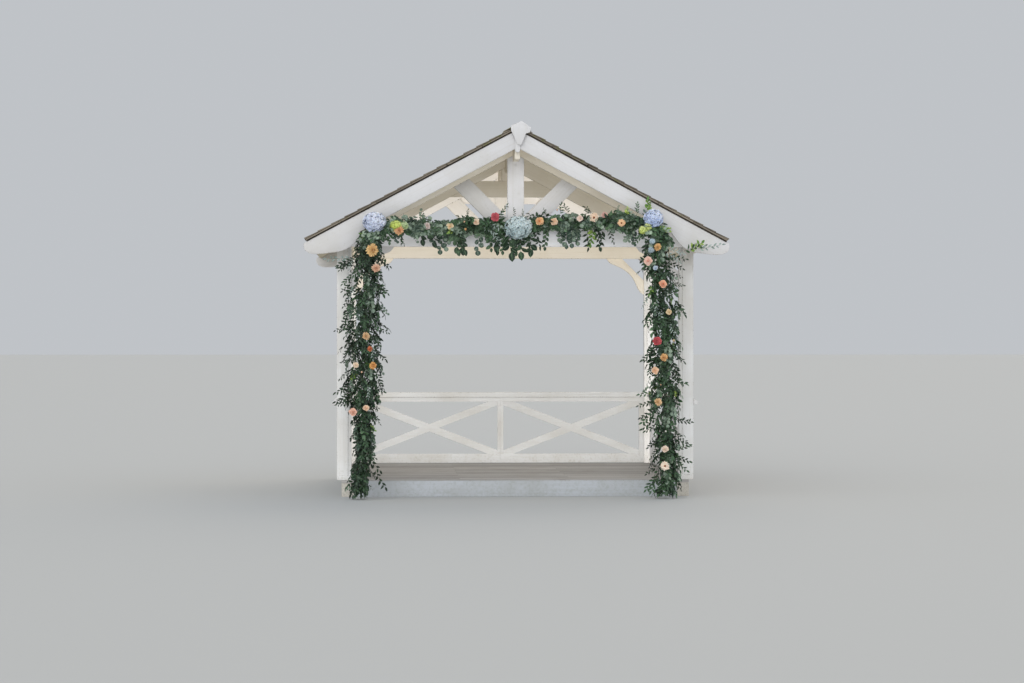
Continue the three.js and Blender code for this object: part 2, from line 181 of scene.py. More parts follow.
def makeStudio():
    world = bpy.data.worlds.new("softSky")
    world.use_nodes = True
    world.node_tree.nodes.clear()
    sky = {"Color": studio["sky"], "Strength": studio["skyStrength"]}
    addNode(world.node_tree, "OutputWorld", {}, {"Surface": addNode(world.node_tree, "Background", sky)})
    scene.world = world
    for name, (shines, spread, strength, colour) in studio["lights"].items():
        light = bpy.data.lights.new(name + "Light", "SUN")
        light.angle = math.radians(spread)
        light.energy = strength
        light.color = linearColour(colour)[:3]
        lamp = bpy.data.objects.new(name + "Light", light)
        lamp.location = Vector(shines) * -studio["lampDistance"]
        lamp.rotation_euler = Vector(shines).to_track_quat("-Z", "Y").to_euler()
        scene.collection.objects.link(lamp)
        if name in studio["caught"]:
            lit = bpy.data.collections.new(name + "Falls")
            stops = bpy.data.collections.new(name + "Stops")
            lamp.light_linking.receiver_collection = lit
            lamp.light_linking.blocker_collection = stops
            limitedLights.append((studio["caught"][name], lit, stops))
    bm = bmesh.new()
    bmesh.ops.create_grid(bm, x_segments=4, y_segments=4, size=studio["floorSize"])
    mesh = bpy.data.meshes.new("studioFloor")
    bm.to_mesh(mesh)
    bm.free()
    floor = bpy.data.objects.new("studioFloor", mesh)
    scene.collection.objects.link(floor)
    material, add = newMaterial("mattFloorPaint")
    addSurface(add, {"Base Color": studio["floor"], "Roughness": 0.9})
    mesh.materials.append(material)
    scene.view_settings.view_transform = "Standard"


makeStudio()
print("studio lit")


paintLook = {
    "brushLine": 15,      # mm across a brush line, drawn far coarser than the real 1 mm so that it shows
    "lineLength": 520,    # mm along it
    "patch": 420,         # mm across a weathered patch
    "speck": 22,          # mm across a speck of algae
    "splash": 0.42,       # height in metres up to which rain splashes dirt
    "chip": 9,            # mm across a chip at an edge
    "bareWood": "#8d8373",
}


# Exterior satin paint brushed on planed softwood: a soft sheen, lines along the board, patches that
# have yellowed, grey-green algae low down and chips to bare wood at the arrises.
def brushedPaint(name, base, aged, grime, grimeShare, roughness):
    look = paintLook
    material, add = newMaterial(name)
    place = add("TexCoord", {}).outputs["Object"]
    grain = add("Attribute", {"attribute_name": "grain"}).outputs["Vector"]
    across = 1000 / look["brushLine"]
    lines = add("Mapping", {"Scale": (1000 / look["lineLength"], across, across)}, [grain])
    brush = add("TexNoise", {"Scale": 1.0, "Detail": 4.0, "Roughness": 0.6}, [lines])
    patch = {"Scale": 1000 / look["patch"], "Detail": 4.0, "Roughness": 0.55}
    patch = add("TexNoise", patch, [place])
    speck = {"Scale": 1000 / look["speck"], "Detail": 7.0, "Roughness": 0.65}
    speck = add("TexNoise", speck, [place])
    patchShare = add("MapRange", {"range": (0.42, 0.68, 0, 0.75)}, [patch])
    tone = add("Mix", {"data_type": "RGBA", 6: base, 7: aged}, [patchShare])
    lineShare = add("MapRange", {"range": (0.5, 0.72, 0, 0.5)}, [brush])
    lined = add("Mix", {"data_type": "RGBA", 7: aged}, {0: lineShare, 6: tone})
    height = add("SeparateXYZ", {}, [place]).outputs["Z"]
    low = add("MapRange", {"range": (0, look["splash"], 0.16, 0)}, [height])
    spread = add("Math", {"operation": "ADD"}, [speck, low])
    dirty = add("MapRange", {"range": (0.60, 0.86, 0, grimeShare)}, [spread])
    grimed = add("Mix", {"data_type": "RGBA", 7: grime}, {0: dirty, 6: lined})
    edge = add("Attribute", {"attribute_name": "arris"}).outputs["Fac"]
    chip = add("TexNoise", {"Scale": 1000 / look["chip"]}, [place])
    chipped = add("MapRange", {"range": (0.6, 0.66, 0, 1)}, [chip])
    bare = add("Math", {"operation": "MULTIPLY"}, [edge, chipped])
    worn = add("Mix", {"data_type": "RGBA", 7: look["bareWood"]}, {0: bare, 6: grimed})
    rough = add("MapRange", {"range": (0.3, 0.75, roughness - 0.08, roughness + 0.16)}, [spread])
    relief = add("Math", {"operation": "MULTIPLY_ADD", 1: 0.35}, {0: speck, 2: brush})
    bump = add("Bump", {"Strength": 0.25, "Distance": 0.001}, {"Height": relief})
    addSurface(add, {"IOR": 1.5, "Specular IOR Level": 0.4}, worn, rough, bump)
    return material


bareLook = {
    "grainLine": 11,      # mm across a grain line, about twice the real width so that it shows
    "lineLength": 650,    # mm along it
    "stain": 240,         # mm across a rain stain
    "check": 5,           # mm across a drying crack
    "checksAlong": 6,     # cracks to a metre along the grain
    "checkColour": "#37312b",
    "mossHeight": (2.3, 3.3),    # metres between which moss grows thicker
    "mossTip": "#8d8b5c",
}


# Bare softwood left out in the weather: silvered grey-brown, dull, with raised grain and dark cracks.
def weatheredWood(name, pale, dark, stain, stainShare, mossHex=None):
    look = bareLook
    material, add = newMaterial(name)
    place = add("TexCoord", {}).outputs["Object"]
    grain = add("Attribute", {"attribute_name": "grain"}).outputs["Vector"]
    across = 1000 / look["grainLine"]
    lines = add("Mapping", {"Scale": (1000 / look["lineLength"], across, across)}, [grain])
    figure = {"Scale": 1.0, "Detail": 6.0, "Roughness": 0.65, "Distortion": 0.4}
    figure = add("TexNoise", figure, [lines])
    across = 1000 / look["check"]
    cracked = add("Mapping", {"Scale": (look["checksAlong"], across, across)}, [grain])
    crack = add("TexNoise", {"Scale": 1.0}, [cracked])
    patch = {"Scale": 1000 / look["stain"], "Detail": 6.0, "Roughness": 0.6}
    patch = add("TexNoise", patch, [place])
    wood = add("ValToRGB", {"stops": [(0.3, dark), (0.72, pale)]}, [figure])
    stained = add("MapRange", {"range": (0.5, 0.72, 0, stainShare)}, [patch])
    aged = add("Mix", {"data_type": "RGBA", 7: stain}, {0: stained, 6: wood})
    gap = add("MapRange", {"range": (0.66, 0.74, 0, 0.6)}, [crack])
    split = add("Mix", {"data_type": "RGBA", 7: look["checkColour"]}, {0: gap, 6: aged})
    tone = add("Attribute", {"attribute_name": "tone"}).outputs["Fac"]
    shade = add("MapRange", {"range": (-1, 1, 0.74, 1.24)}, [tone])
    colour = add("VectorMath", {"operation": "SCALE"}, {0: split, "Scale": shade})
    relief = add("Math", {"operation": "SUBTRACT"}, [figure, gap])
    if mossHex:
        # moss and lichen keep to damp patches and are thicker near the ridge
        height = add("SeparateXYZ", {}, [place]).outputs["Z"]
        damp = add("MapRange", {"range": (*look["mossHeight"], -0.05, 0.07)}, [height])
        tuft = add("TexNoise", {"Scale": 17.0, "Detail": 8.0, "Roughness": 0.7}, [place])
        spread = add("Math", {"operation": "ADD"}, [tuft, damp])
        mossy = add("MapRange", {"range": (0.56, 0.66, 0, 0.8)}, [spread])
        moss = add("ValToRGB", {"stops": [(0.35, mossHex), (0.7, look["mossTip"])]}, [crack])
        colour = add("Mix", {"data_type": "RGBA"}, {0: mossy, 6: colour, 7: moss})
        relief = add("Math", {"operation": "ADD"}, [relief, mossy])
    rough = add("MapRange", {"range": (0.3, 0.7, 0.72, 0.92)}, [figure])
    bump = add("Bump", {"Strength": 0.6, "Distance": 0.003}, {"Height": relief})
    addSurface(add, {"IOR": 1.45, "Specular IOR Level": 0.25}, colour, rough, bump)
    return material


leafSurface = {
    "IOR": 1.42,
    "Specular IOR Level": 0.45,
    "Subsurface Weight": 0.08,
    "Subsurface Radius": (0.004, 0.008, 0.002),
}


# Cut leaves: waxy on top, a paler midrib, side veins as a light relief, each leaf its own tone.
def leafFinish(name, dark, light, rib, roughness):
    material, add = newMaterial(name)
    place = add("TexCoord", {}).outputs["Object"]
    leafMap = add("UVMap", {"uv_map": "leafMap"})
    tone = add("Attribute", {"attribute_name": "tone"}).outputs["Fac"]
    blotch = add("TexNoise", {"Scale": 55.0, "Detail": 3.0}, [place])
    mixed = add("Math", {"operation": "MULTIPLY_ADD", 1: 0.55}, {0: tone, 2: blotch})
    body = add("ValToRGB", {"stops": [(0.25, dark), (1.0, light)]}, [mixed])
    split = add("SeparateXYZ", {}, [leafMap])
    offRib = add("Math", {"operation": "SUBTRACT", 1: 0.5}, [split.outputs["X"]])
    away = add("Math", {"operation": "ABSOLUTE"}, [offRib])
    ribShare = add("MapRange", {"range": (0, 0.07, 0.65, 0)}, [away])
    veined = add("Mix", {"data_type": "RGBA", 7: rib}, {0: ribShare, 6: body})
    slant = add("Math", {"operation": "SUBTRACT"}, [split.outputs["Y"], away])
    beat = add("Math", {"operation": "MULTIPLY", 1: 44.0}, [slant])
    wave = add("Math", {"operation": "SINE"}, [beat])
    bump = add("Bump", {"Strength": 0.25, "Distance": 0.0008}, {"Height": wave})
    rough = add("MapRange", {"range": (0.3, 0.7, roughness - 0.06, roughness + 0.1)}, [blotch])
    addSurface(add, leafSurface, veined, rough, bump)
    return material


petalSurface = {
    "IOR": 1.4,
    "Specular IOR Level": 0.25,
    "Sheen Weight": 0.15,
    "Subsurface Weight": 0.12,
    "Subsurface Radius": (0.006, 0.004, 0.003),
}


# Fresh petals: matt and soft, fine veins from base to rim. The colour is each flower's own.
def petalFinish(name, veinCount, roughness):
    material, add = newMaterial(name)
    place = add("TexCoord", {}).outputs["Object"]
    dye = add("Attribute", {"attribute_name": "petalColour"}).outputs["Color"]
    petalMap = add("UVMap", {"uv_map": "leafMap"})
    stretched = add("Mapping", {"Scale": (veinCount, 1.2, 1.0)}, [petalMap])
    vein = add("TexNoise", {"Scale": 1.0, "Detail": 3.0}, [stretched])
    cloud = add("TexNoise", {"Scale": 70.0}, [place])
    both = add("Math", {"operation": "ADD"}, [vein, cloud])
    shade = add("MapRange", {"range": (0.7, 1.3, 0.86, 1.08)}, [both])
    toned = add("VectorMath", {"operation": "SCALE"}, {0: dye, "Scale": shade})
    bump = add("Bump", {"Strength": 0.3, "Distance": 0.0008}, {"Height": vein})
    rough = add("MapRange", {"range": (0.35, 0.65, roughness - 0.05, roughness + 0.08)}, [cloud])
    addSurface(add, petalSurface, toned, rough, bump)
    return material


mottledLooks = {
    # green-brown stems and vine: ridged along their length, nearly matt
    "cutStem": {
        "surface": {"IOR": 1.45, "Specular IOR Level": 0.3},
        "texture": ("TexNoise", {"Scale": 160.0, "Detail": 4.0}),
        "stretch": (1.0, 1.0, 0.12),
        "colours": [(0.3, "#2a2d1e"), (0.7, "#5b5a3a")],
        "roughness": (0.55, 0.8),
        "relief": {"Strength": 0.5, "Distance": 0.001},
    },
    # cushions of moss: dark green with yellow tips, no gloss at all
    "roofMoss": {
        "surface": {"IOR": 1.4, "Specular IOR Level": 0.15, "Sheen Weight": 0.2},
        "texture": ("TexNoise", {"Scale": 190.0, "Detail": 5.0, "Roughness": 0.7}),
        "colours": [(0.32, "#3a3f22"), (0.7, "#87863f")],
        "roughness": (0.85, 1.0),
        "relief": {"Strength": 0.9, "Distance": 0.003},
    },
    # zinc-plated steel screw heads, gone dull: grey metal with a mottled bloom
    "dullZincSteel": {
        "surface": {"Metallic": 1.0},
        "texture": ("TexNoise", {"Scale": 420.0, "Detail": 4.0}),
        "colours": [(0.3, "#5e5a55"), (0.7, "#9b9a97")],
        "roughness": (0.4, 0.7),
        "relief": {"Strength": 0.3, "Distance": 0.0004},
    },
    # packed seed heads at the daisies' hearts: red-brown, granular
    "seedHead": {
        "surface": {"IOR": 1.4, "Specular IOR Level": 0.3},
        "texture": ("TexVoronoi", {"Scale": 500.0}),
        "colours": [(0.1, "#a86432"), (0.7, "#4e2416")],
        "roughness": (0.6, 0.85),
        "relief": {"Strength": 0.8, "Distance": 0.001},
    },
}


# A finish of one mottled pattern, which gives its colour, its roughness and its relief.
def mottledFinish(name):
    look = mottledLooks[name]
    material, add = newMaterial(name)
    place = add("TexCoord", {}).outputs["Object"]
    stretched = add("Mapping", {"Scale": look.get("stretch", (1, 1, 1))}, [place])
    mottle = add(*look["texture"], [stretched])
    colour = add("ValToRGB", {"stops": look["colours"]}, [mottle])
    rough = add("MapRange", {"range": (0, 1, *look["roughness"])}, [mottle])
    bump = add("Bump", look["relief"], {"Height": mottle})
    addSurface(add, look["surface"], colour, rough, bump)
    return material


whitePaint = brushedPaint("whiteSatinPaint", "#e6e5e6", "#d6d3cd", "#9d9a84", 0.5, 0.42)
# cream for the rafters and the timbers inside: partly the paint's own colour, partly painted shade under the
# roof
creamPaintAndShade = brushedPaint("creamMattPaint", "#e8e1d3", "#dbd2bf", "#a39a7c", 0.4, 0.55)
# a lighter cream for the back truss: painted light, as if sunlit
litBackCream = brushedPaint("paleCreamPaint", "#f8f5f1", "#eee9e0", "#a39a7c", 0.4, 0.55)
# a lighter white for the railings at the back and the posts: painted light
litRailPaint = brushedPaint("agedWhitePaint", "#ebebea", "#dad7d1", "#a89f82", 0.4, 0.5)
# a darker white for the barge boards, the finials and their nails: painted shade
shadedGablePaint = brushedPaint("sunDulledWhitePaint", "#d8d8da", "#cbc9c5", "#9d9a84", 0.5, 0.48)
# a lighter white for the front tie beam: painted light where the garland and the gables shade it
litBeamPaint = brushedPaint("shelteredWhitePaint", "#f3f3f5", "#e6e4e0", "#a8a28c", 0.4, 0.45)
# a darker, bluish white for the deck fascias and their nails: painted shade
shadedFasciaPaint = brushedPaint("rainWashedPaint", "#b6bbc1", "#a8abac", "#858978", 0.35, 0.5)
# a darker, warmer paint for the ceiling and the middle truss: painted shade deep under the roof
shadedCeilingPaint = brushedPaint("ceilingMattPaint", "#cfc7b2", "#bfb597", "#8f8768", 0.4, 0.65)
deckWood = weatheredWood("weatheredDeckPine", "#bab8b6", "#949290", "#8a8278", 0.36)
rimWood = weatheredWood("sawnGreySoftwood", "#dcd8cf", "#b1ada4", "#968d7e", 0.3)
cedar = weatheredWood("weatheredCedar", "#9a9184", "#696156", "#4a463e", 0.45, "#5a5d3a")
tarred = weatheredWood("tarredBatten", "#4b453d", "#2d2925", "#241f1b", 0.4)
# the ridge caps' weathered cedar is lighter than the shingles': painted light on caps that catch less of the
# lamps
litCapCedar = weatheredWood("weatheredCedarCap", "#a39b88", "#756e5f", "#545045", 0.45, "#73744a")
ruscusLeaf = leafFinish("ruscusLeaf", "#14241b", "#507350", "#6f8e62", 0.38)
eucalyptusLeaf = leafFinish("eucalyptusLeaf", "#3a4f44", "#aec2ac", "#b4c4b0", 0.58)
freshLeaf = leafFinish("freshGreenLeaf", "#4f7a36", "#c3da66", "#cddc8c", 0.42)
silverLeaf = leafFinish("silverFeltLeaf", "#72857e", "#bac7c2", "#c6cfca", 0.68)
salalLeaf = leafFinish("salalLeaf", "#1e3326", "#6a8c66", "#84a07b", 0.45)
stem = mottledFinish("cutStem")
petal = petalFinish("freshPetal", 9, 0.55)
moss = mottledFinish("roofMoss")
zinc = mottledFinish("dullZincSteel")
seed = mottledFinish("seedHead")
finishOfSlot = {
    "white_paint": whitePaint,
    "cream_paint": creamPaintAndShade,
    "ceiling_paint": shadedCeilingPaint,
    "deck_board": deckWood,
    "rim_timber": rimWood,
    "shingle": cedar,
    "ridge_board_cap": litCapCedar,
}
# lighter and darker copies of the paint stand in for light and shade: the railings at the back and
# the posts get a lighter white and the back truss a lighter cream, painted light; the gables get a
# darker white and the fascias a darker, bluish one, painted shade; the front beam a lighter white,
# painted light where the garland and the gables shade it
finishOfNode = {
    **dict.fromkeys(("balustrade_back", "handrail_back", "post"), litRailPaint),
    **dict.fromkeys(("collar_back", "rafter_back", "king_post_back", "strut_back"), litBackCream),
    **dict.fromkeys(("barge_board", "finial"), shadedGablePaint),
    "tie_beam_front": litBeamPaint,
    "deck_fascia": shadedFasciaPaint,
}
print("materials mixed")


# Makes a mesh of the bmesh, and frees it. Its faces look smooth where they meet at less than angle.
def toMesh(bm, name, angle=35):
    mesh = bpy.data.meshes.new(name)
    bm.to_mesh(mesh)
    bm.free()
    mesh.shade_smooth()
    mesh.set_sharp_from_angle(angle=math.radians(angle))
    return mesh


# Adds what the second bmesh holds to the first, and frees the second.
def mergeInto(bm, added):
    mesh = bpy.data.meshes.new("merged")
    added.to_mesh(mesh)
    added.free()
    bm.from_mesh(mesh)
    bpy.data.meshes.remove(mesh)


def addPiece(mesh, materials, nodes=()):
    piece = bpy.data.objects.new(mesh.name, mesh)
    scene.collection.objects.link(piece)
    for material in materials:
        mesh.materials.append(material)
    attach(piece, "root")
    for words, lit, stops in limitedLights:
        if any(word in mesh.name for word in words):
            lit.objects.link(piece)
            stops.objects.link(piece)
    if nodes:
        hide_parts(*nodes)


rimSpread = 0.6    # how a petal's heart colour turns to the rim's: the less this is, the sooner


# Adds a copy of the template to the bmesh, put in place and with its tone shifted.
def addCopy(bm, template, matrix, tone=0.0, colours=None):
    copy = template.copy()
    copy.transform(matrix)
    data = copy.attributes["tone"].data
    values = [0.0] * len(data)
    data.foreach_get("value", values)
    data.foreach_set("value", [value + tone for value in values])
    if colours:
        heart, rim = colours
        reach = [0.0] * len(data)
        copy.attributes["reach"].data.foreach_get("value", reach)
        dye = [h + (r - h) * t ** rimSpread for t in reach for h, r in zip(heart, rim)]
        copy.attributes["petalColour"].data.foreach_set("color", dye)
    bm.from_mesh(copy)
    bpy.data.meshes.remove(copy)


def easeEdges(bm, edges, offset, segments=1):
    eased = bmesh.ops.bevel(
        bm, geom=edges, offset=offset, offset_type="OFFSET", segments=segments, profile=0.5, affect="EDGES",
        clamp_overlap=True, material=-1,
    )
    return eased["faces"]


def scatter(rng, spread):
    return Vector([rng.uniform(-spread, spread) for _ in range(3)])


# Writes where each point lies along its board: x follows the grain, which starts at a random place.
def setGrain(bm, direction, rng, reach=50):
    offset = Vector([rng.uniform(0, reach) for _ in range(3)])
    layer = bm.verts.layers.float_vector.get("grain") or bm.verts.layers.float_vector.new("grain")
    turn = direction.to_track_quat("X", "Z").to_matrix().inverted()
    for vert in bm.verts:
        vert[layer] = turn @ vert.co + offset


# the way of a timber's grain by the start of its name, of which the longest match counts. In all
# others it runs across the front
timberGrain = {
    **dict.fromkeys(("post", "king_post", "finial"), (0, 0, 1)),
    **dict.fromkeys(("handrail_back", "balustrade_back"), (1, 0, 0)),
    **dict.fromkeys(("wall_plate", "ridge_board", "deck_rim_beam", "deck_bearer"), (0, 1, 0)),
    **dict.fromkeys(("handrail", "balustrade"), (0, 1, 0)),
    **dict.fromkeys(("rafter", "barge_board"), (math.cos(pitch), 0, -math.sin(pitch))),
    "strut": (1, 0, 1),
    "knee_brace": (1, 0, -1),
}
# how wide a timber's arris is in mm, where it isn't the common width
arrisWidth = {"barge_board": 4, "finial": 2.5, "balustrade": 2, "deck_rim_beam": 4, "deck_bearer": 4}
timber = {
    "arris": 3,           # mm
    "weld": 0.00004,      # metres within which two corners are one
    "flat": 1,            # degrees up to which faces are one face
    "sharp": 30,          # degrees past which an edge is an arris
}
# nodes whose boards, shingles or leaves are modelled anew, one by one
modelledAnew = ("deck_floor", "roof_boarding", "roof_shingles", "ridge_cap", "garland")


def namedSetting(settings, node, otherwise):
    matches = [key for key in settings if node.startswith(key)]
    return settings[max(matches, key=len)] if matches else otherwise


# A planed copy of a timber, with its arrises eased, in the frame's own place.
def easeTimber(node, rng):
    bm = bmesh.new()
    bm.from_mesh(frame["nodes"][node].data)
    for layers in (bm.loops.layers.uv, bm.loops.layers.color, bm.loops.layers.float_color):
        for layer in list(layers):
            layers.remove(layer)
    arris = bm.faces.layers.float.new("arris")
    bm.verts.layers.float_vector.new("grain")
    bmesh.ops.remove_doubles(bm, verts=bm.verts[:], dist=timber["weld"])
    flat = math.radians(timber["flat"])
    bmesh.ops.dissolve_limit(bm, angle_limit=flat, verts=bm.verts[:], edges=bm.edges[:])
    limit = math.radians(timber["sharp"])
    sharp = [e for e in bm.edges if len(e.link_faces) == 2 and e.calc_face_angle(0) > limit]
    for face in easeEdges(bm, sharp, namedSetting(arrisWidth, node, timber["arris"]) * mm, 2):
        face[arris] = 1.0
    bmesh.ops.triangulate(bm, faces=[f for f in bm.faces if len(f.verts) > 4])
    along = Vector(namedSetting(timberGrain, node, (1, 0, 0)))
    if node.endswith("left"):
        along.z = -along.z
    setGrain(bm, along, rng, 40)
    slot = slotOfNode[node]
    finish = namedSetting(finishOfNode, node, finishOfSlot[slot])
    addPiece(toMesh(bm, "timber_" + node), [finish], [node])


def makeTimbers():
    rng = random.Random(11)
    nodes = [node for node in sorted(frame["nodes"]) if not node.startswith(modelledAnew)]
    for node in nodes:
        easeTimber(node, rng)
    print("timbers eased:", len(nodes))


makeTimbers()


boardTone = 0.8    # how far boards differ in tone


# Adds one board with eased edges, a tone of its own and its grain along the direction.
def addBoard(target, size, matrix, bevel, direction, rng):
    bm = bmesh.new()
    bmesh.ops.create_cube(bm, size=1.0)
    bmesh.ops.scale(bm, vec=size, verts=bm.verts[:])
    easeEdges(bm, bm.edges[:], bevel)
    tone = bm.verts.layers.float.new("tone")
    bm.verts.layers.float_vector.new("grain")
    shade = rng.uniform(-boardTone, boardTone)
    for vert in bm.verts:
        vert[tone] = shade
        # one draw to a corner keeps the order of those that follow
        rng.random()
    bmesh.ops.transform(bm, matrix=matrix, verts=bm.verts[:])
    setGrain(bm, direction, rng)
    mergeInto(target, bm)


# In radii of the head: width and height of the dome's side, and of the hollow's.
screw = {"sides": 8, "dome": (0.35, 0.22), "hollow": (0.25, -0.2)}


# A low domed screw head with a small hollow in the middle.
def screwHead(radius, finish=0):
    bm = bmesh.new()
    bmesh.ops.create_circle(bm, cap_ends=True, segments=screw["sides"], radius=radius)
    wide, high = [radius * share for share in screw["dome"]]
    inner = bmesh.ops.inset_region(bm, faces=bm.faces[:], thickness=wide, depth=high)
    top = [f for f in bm.faces if f not in inner["faces"]]
    wide, high = [radius * share for share in screw["hollow"]]
    bmesh.ops.inset_region(bm, faces=top, thickness=wide, depth=high)
    bm.verts.layers.float.new("tone")
    for face in bm.faces:
        face.material_index = finish
    return toMesh(bm, "screwHead")


deck = {
    "halfWidth": 1562,
    "halfDepth": 1530.7,
    "cornerDepth": 25.3,            # of the short pieces that close the corners
    "rimWidth": 110,
    "thickness": 28,
    "boards": 25,
    "gap": 5,
    "jointX": (-500, 500),
    "halfJoint": 1.5,               # half the gap where two boards meet end to end
    "arris": 2.5,
    "cornerArris": 2,
    "bearers": (-1507, -500, 500, 1507),
    "screwRadius": 4.5,
    "screwsAcross": (-0.3, 0.3),    # shares of a board's width
    "screwStray": 9,
    "screwLift": 0.1,               # over the boards, so that the two faces don't fall together
}


def makeDeck():
    rng = random.Random(5)
    bm = bmesh.new()
    reach = deck["halfWidth"]
    along = Vector((1, 0, 0))
    width = (2 * deck["halfDepth"] - (deck["boards"] - 1) * deck["gap"]) / deck["boards"]
    centreZ = deckTop - deck["thickness"] * mm / 2
    screws = bmesh.new()
    head = screwHead(deck["screwRadius"] * mm)
    for i in range(deck["boards"]):
        y = (-deck["halfDepth"] + width / 2 + i * (width + deck["gap"])) * mm + shiftY
        ends = [(-reach, reach)]
        if i % 2:
            joint = deck["jointX"][i // 2 % 2]
            ends = [(-reach, joint - deck["halfJoint"]), (joint + deck["halfJoint"], reach)]
        for x0, x1 in ends:
            size = ((x1 - x0) * mm, width * mm, deck["thickness"] * mm)
            place = Matrix.Translation(((x0 + x1) / 2 * mm, y, centreZ))
            addBoard(bm, size, place, deck["arris"] * mm, along, rng)
        for x in deck["bearers"]:
            for across in deck["screwsAcross"]:
                stray = rng.uniform(-deck["screwStray"], deck["screwStray"])
                spot = Vector(((x + stray) * mm, y + across * width * mm, deckTop + deck["screwLift"] * mm))
                addCopy(screws, head, Matrix.Translation(spot) @ Matrix.Rotation(rng.uniform(0, 3), 4, "Z"))
    for sideX in (-1, 1):
        for end in (-1, 1):
            size = (deck["rimWidth"] * mm, deck["cornerDepth"] * mm, deck["thickness"] * mm)
            x = sideX * (reach - deck["rimWidth"] / 2) * mm
            y = end * (deck["halfDepth"] + deck["cornerDepth"] / 2) * mm + shiftY
            addBoard(bm, size, Matrix.Translation((x, y, centreZ)), deck["cornerArris"] * mm, along, rng)
    addPiece(toMesh(bm, "deck_boards"), [deckWood], ["deck_floor"])
    addPiece(toMesh(screws, "deck_screws"), [zinc])
    print("deck laid")


makeDeck()


# All in metres. Each kind of shingle has heights over the boarding: its top and underside at its lower
# end, and the same at its head.
roof = {
    "courses": 16,
    "eaves": 1.872,
    "whole": ((0.0400, 0.0330), (0.0248, 0.0238)),
    "starter": ((0.0325, 0.0240), (0.0244, 0.0238)),
    "under": ((0.0232, 0.0125), (0.0226, 0.0125)),
    "batten": ((0.0105, 0.0004), (0.0105, 0.0004)),
    "lap": 2.2,                    # length of a shingle in exposures
    "underRows": 6,
    # how far the lower ends of the three layers under the courses stand back from the eaves
    "setback": {"starter": 0.002, "under": 0.004, "batten": 0.009},
    "endGap": {"under": 0.003, "batten": 0.004},    # how much shorter than its row a piece is
    "inset": {"under": 0, "batten": 0.010},         # from the verge
    "shapes": {"whole": 7, "under": 4, "batten": 2, "starter": 3},
    "ragged": 0.012,               # share of its length by which a lower end may be cut short
    "uneven": 0.0009,              # of its faces, but not of undersides that lie lower than flatBelow
    "flatBelow": 0.004,
    "slip": 0.006,                 # how far up a shingle may be nailed out of line
    "width": (0.085, 0.205),
    "usual": (0.3, 0.15),          # the length and width for which the grain is drawn
    "gap": 0.004,
    "gapShare": (0.4, 1.2),        # shares of the gap that are left between shingles
}
slopeLength = roof["eaves"] / math.cos(pitch)
exposure = slopeLength / roof["courses"]


# Puts a thing made on a level roof, x down the slope and z off it, on the slope at that side.
def onSlope(side, down, y, above=0.0):
    turn = Matrix.Rotation(math.pi, 4, "Z") if side < 0 else Matrix.Identity(4)
    place = Matrix.Translation((0, y, ridgeTop))
    return place @ turn @ Matrix.Rotation(pitch, 4, "Y") @ Matrix.Translation((down, 0, above))


# A tapered shingle of unit length and width, with its lower end at x = 0.
def shingleMesh(butt, head, rng, finish=0):
    bm = bmesh.new()
    bmesh.ops.create_cube(bm, size=1.0, matrix=Matrix.Translation((-0.5, 0, 0.5)))
    for vert in bm.verts:
        ends = butt if vert.co.x > -0.5 else head
        vert.co.z = ends[0] if vert.co.z > 0.5 else ends[1]
        if vert.co.x > -0.5:
            vert.co.x += rng.uniform(-roof["ragged"], 0.0)
    long = [e for e in bm.edges if abs(e.verts[0].co.x - e.verts[1].co.x) > 0.5]
    bmesh.ops.subdivide_edges(bm, edges=long, cuts=2)
    for vert in bm.verts:
        if vert.co.z > roof["flatBelow"]:
            vert.co.z += rng.uniform(-roof["uneven"], roof["uneven"])
    bm.verts.layers.float.new("tone")
    layer = bm.verts.layers.float_vector.new("grain")
    usualLength, usualWidth = roof["usual"]
    for vert in bm.verts:
        vert[layer] = (vert.co.x * usualLength, vert.co.y * usualWidth, vert.co.z)
    for face in bm.faces:
        face.material_index = finish
    return toMesh(bm, "shingle", 25)


def makeShingles():
    rng = random.Random(23)
    shapes = {}
    for kind, count in roof["shapes"].items():
        shapes[kind] = [shingleMesh(*roof[kind], rng, int(kind == "batten")) for _ in range(count)]
    setback = roof["setback"]
    # each row: place of its lower ends down the slope, length, templates and its reach to the verge
    rows = []
    for i in range(roof["courses"]):
        rows.append((slopeLength - i * exposure, roof["lap"] * exposure, shapes["whole"], vergeReach))
    rows.append((slopeLength - setback["starter"], exposure, shapes["starter"], vergeReach))
    step = slopeLength / roof["underRows"]
    for i in range(roof["underRows"]):
        up = i * slopeLength / roof["underRows"]
        for kind, inset in roof["inset"].items():
            long = step - roof["endGap"][kind]
            rows.append((slopeLength - setback[kind] - up, long, shapes[kind], vergeReach - inset))
    for side, name in ((-1, "left"), (1, "right")):
        bm = bmesh.new()
        for butt, long, templates, reach in rows:
            long = min(long, butt - mm)
            y = -reach
            while y < reach - mm:
                width = rng.uniform(*roof["width"])
                if reach - y - width < roof["width"][0]:
                    width = reach - y
                gap = roof["gap"] * rng.uniform(*roof["gapShare"])
                middle = y + width / 2 + shiftY
                size = Matrix.Diagonal((long, width - gap, 1, 1))
                place = onSlope(side, butt + rng.uniform(-roof["slip"], 0.0), middle) @ size
                addCopy(bm, rng.choice(templates), place, rng.uniform(-1, 1))
                y += width
        nodes = ["roof_shingles_" + name]
        addPiece(toMesh(bm, "cedar_shingles_" + name, 25), [cedar, tarred], nodes)
    print("roof shingled")


ridgeCap = {
    "reach": 0.126,               # down either slope
    "reachShare": (0.96, 1.0),    # shares of it that caps reach
    "step": 0.155,
    "faces": (0.0404, 0.0480),    # heights of the underside and the top over the boarding
    "lap": 1.7,                   # length in steps
    "rise": 0.0082,               # how much higher the end is that lies on the cap before
    "arris": 0.0015,
}


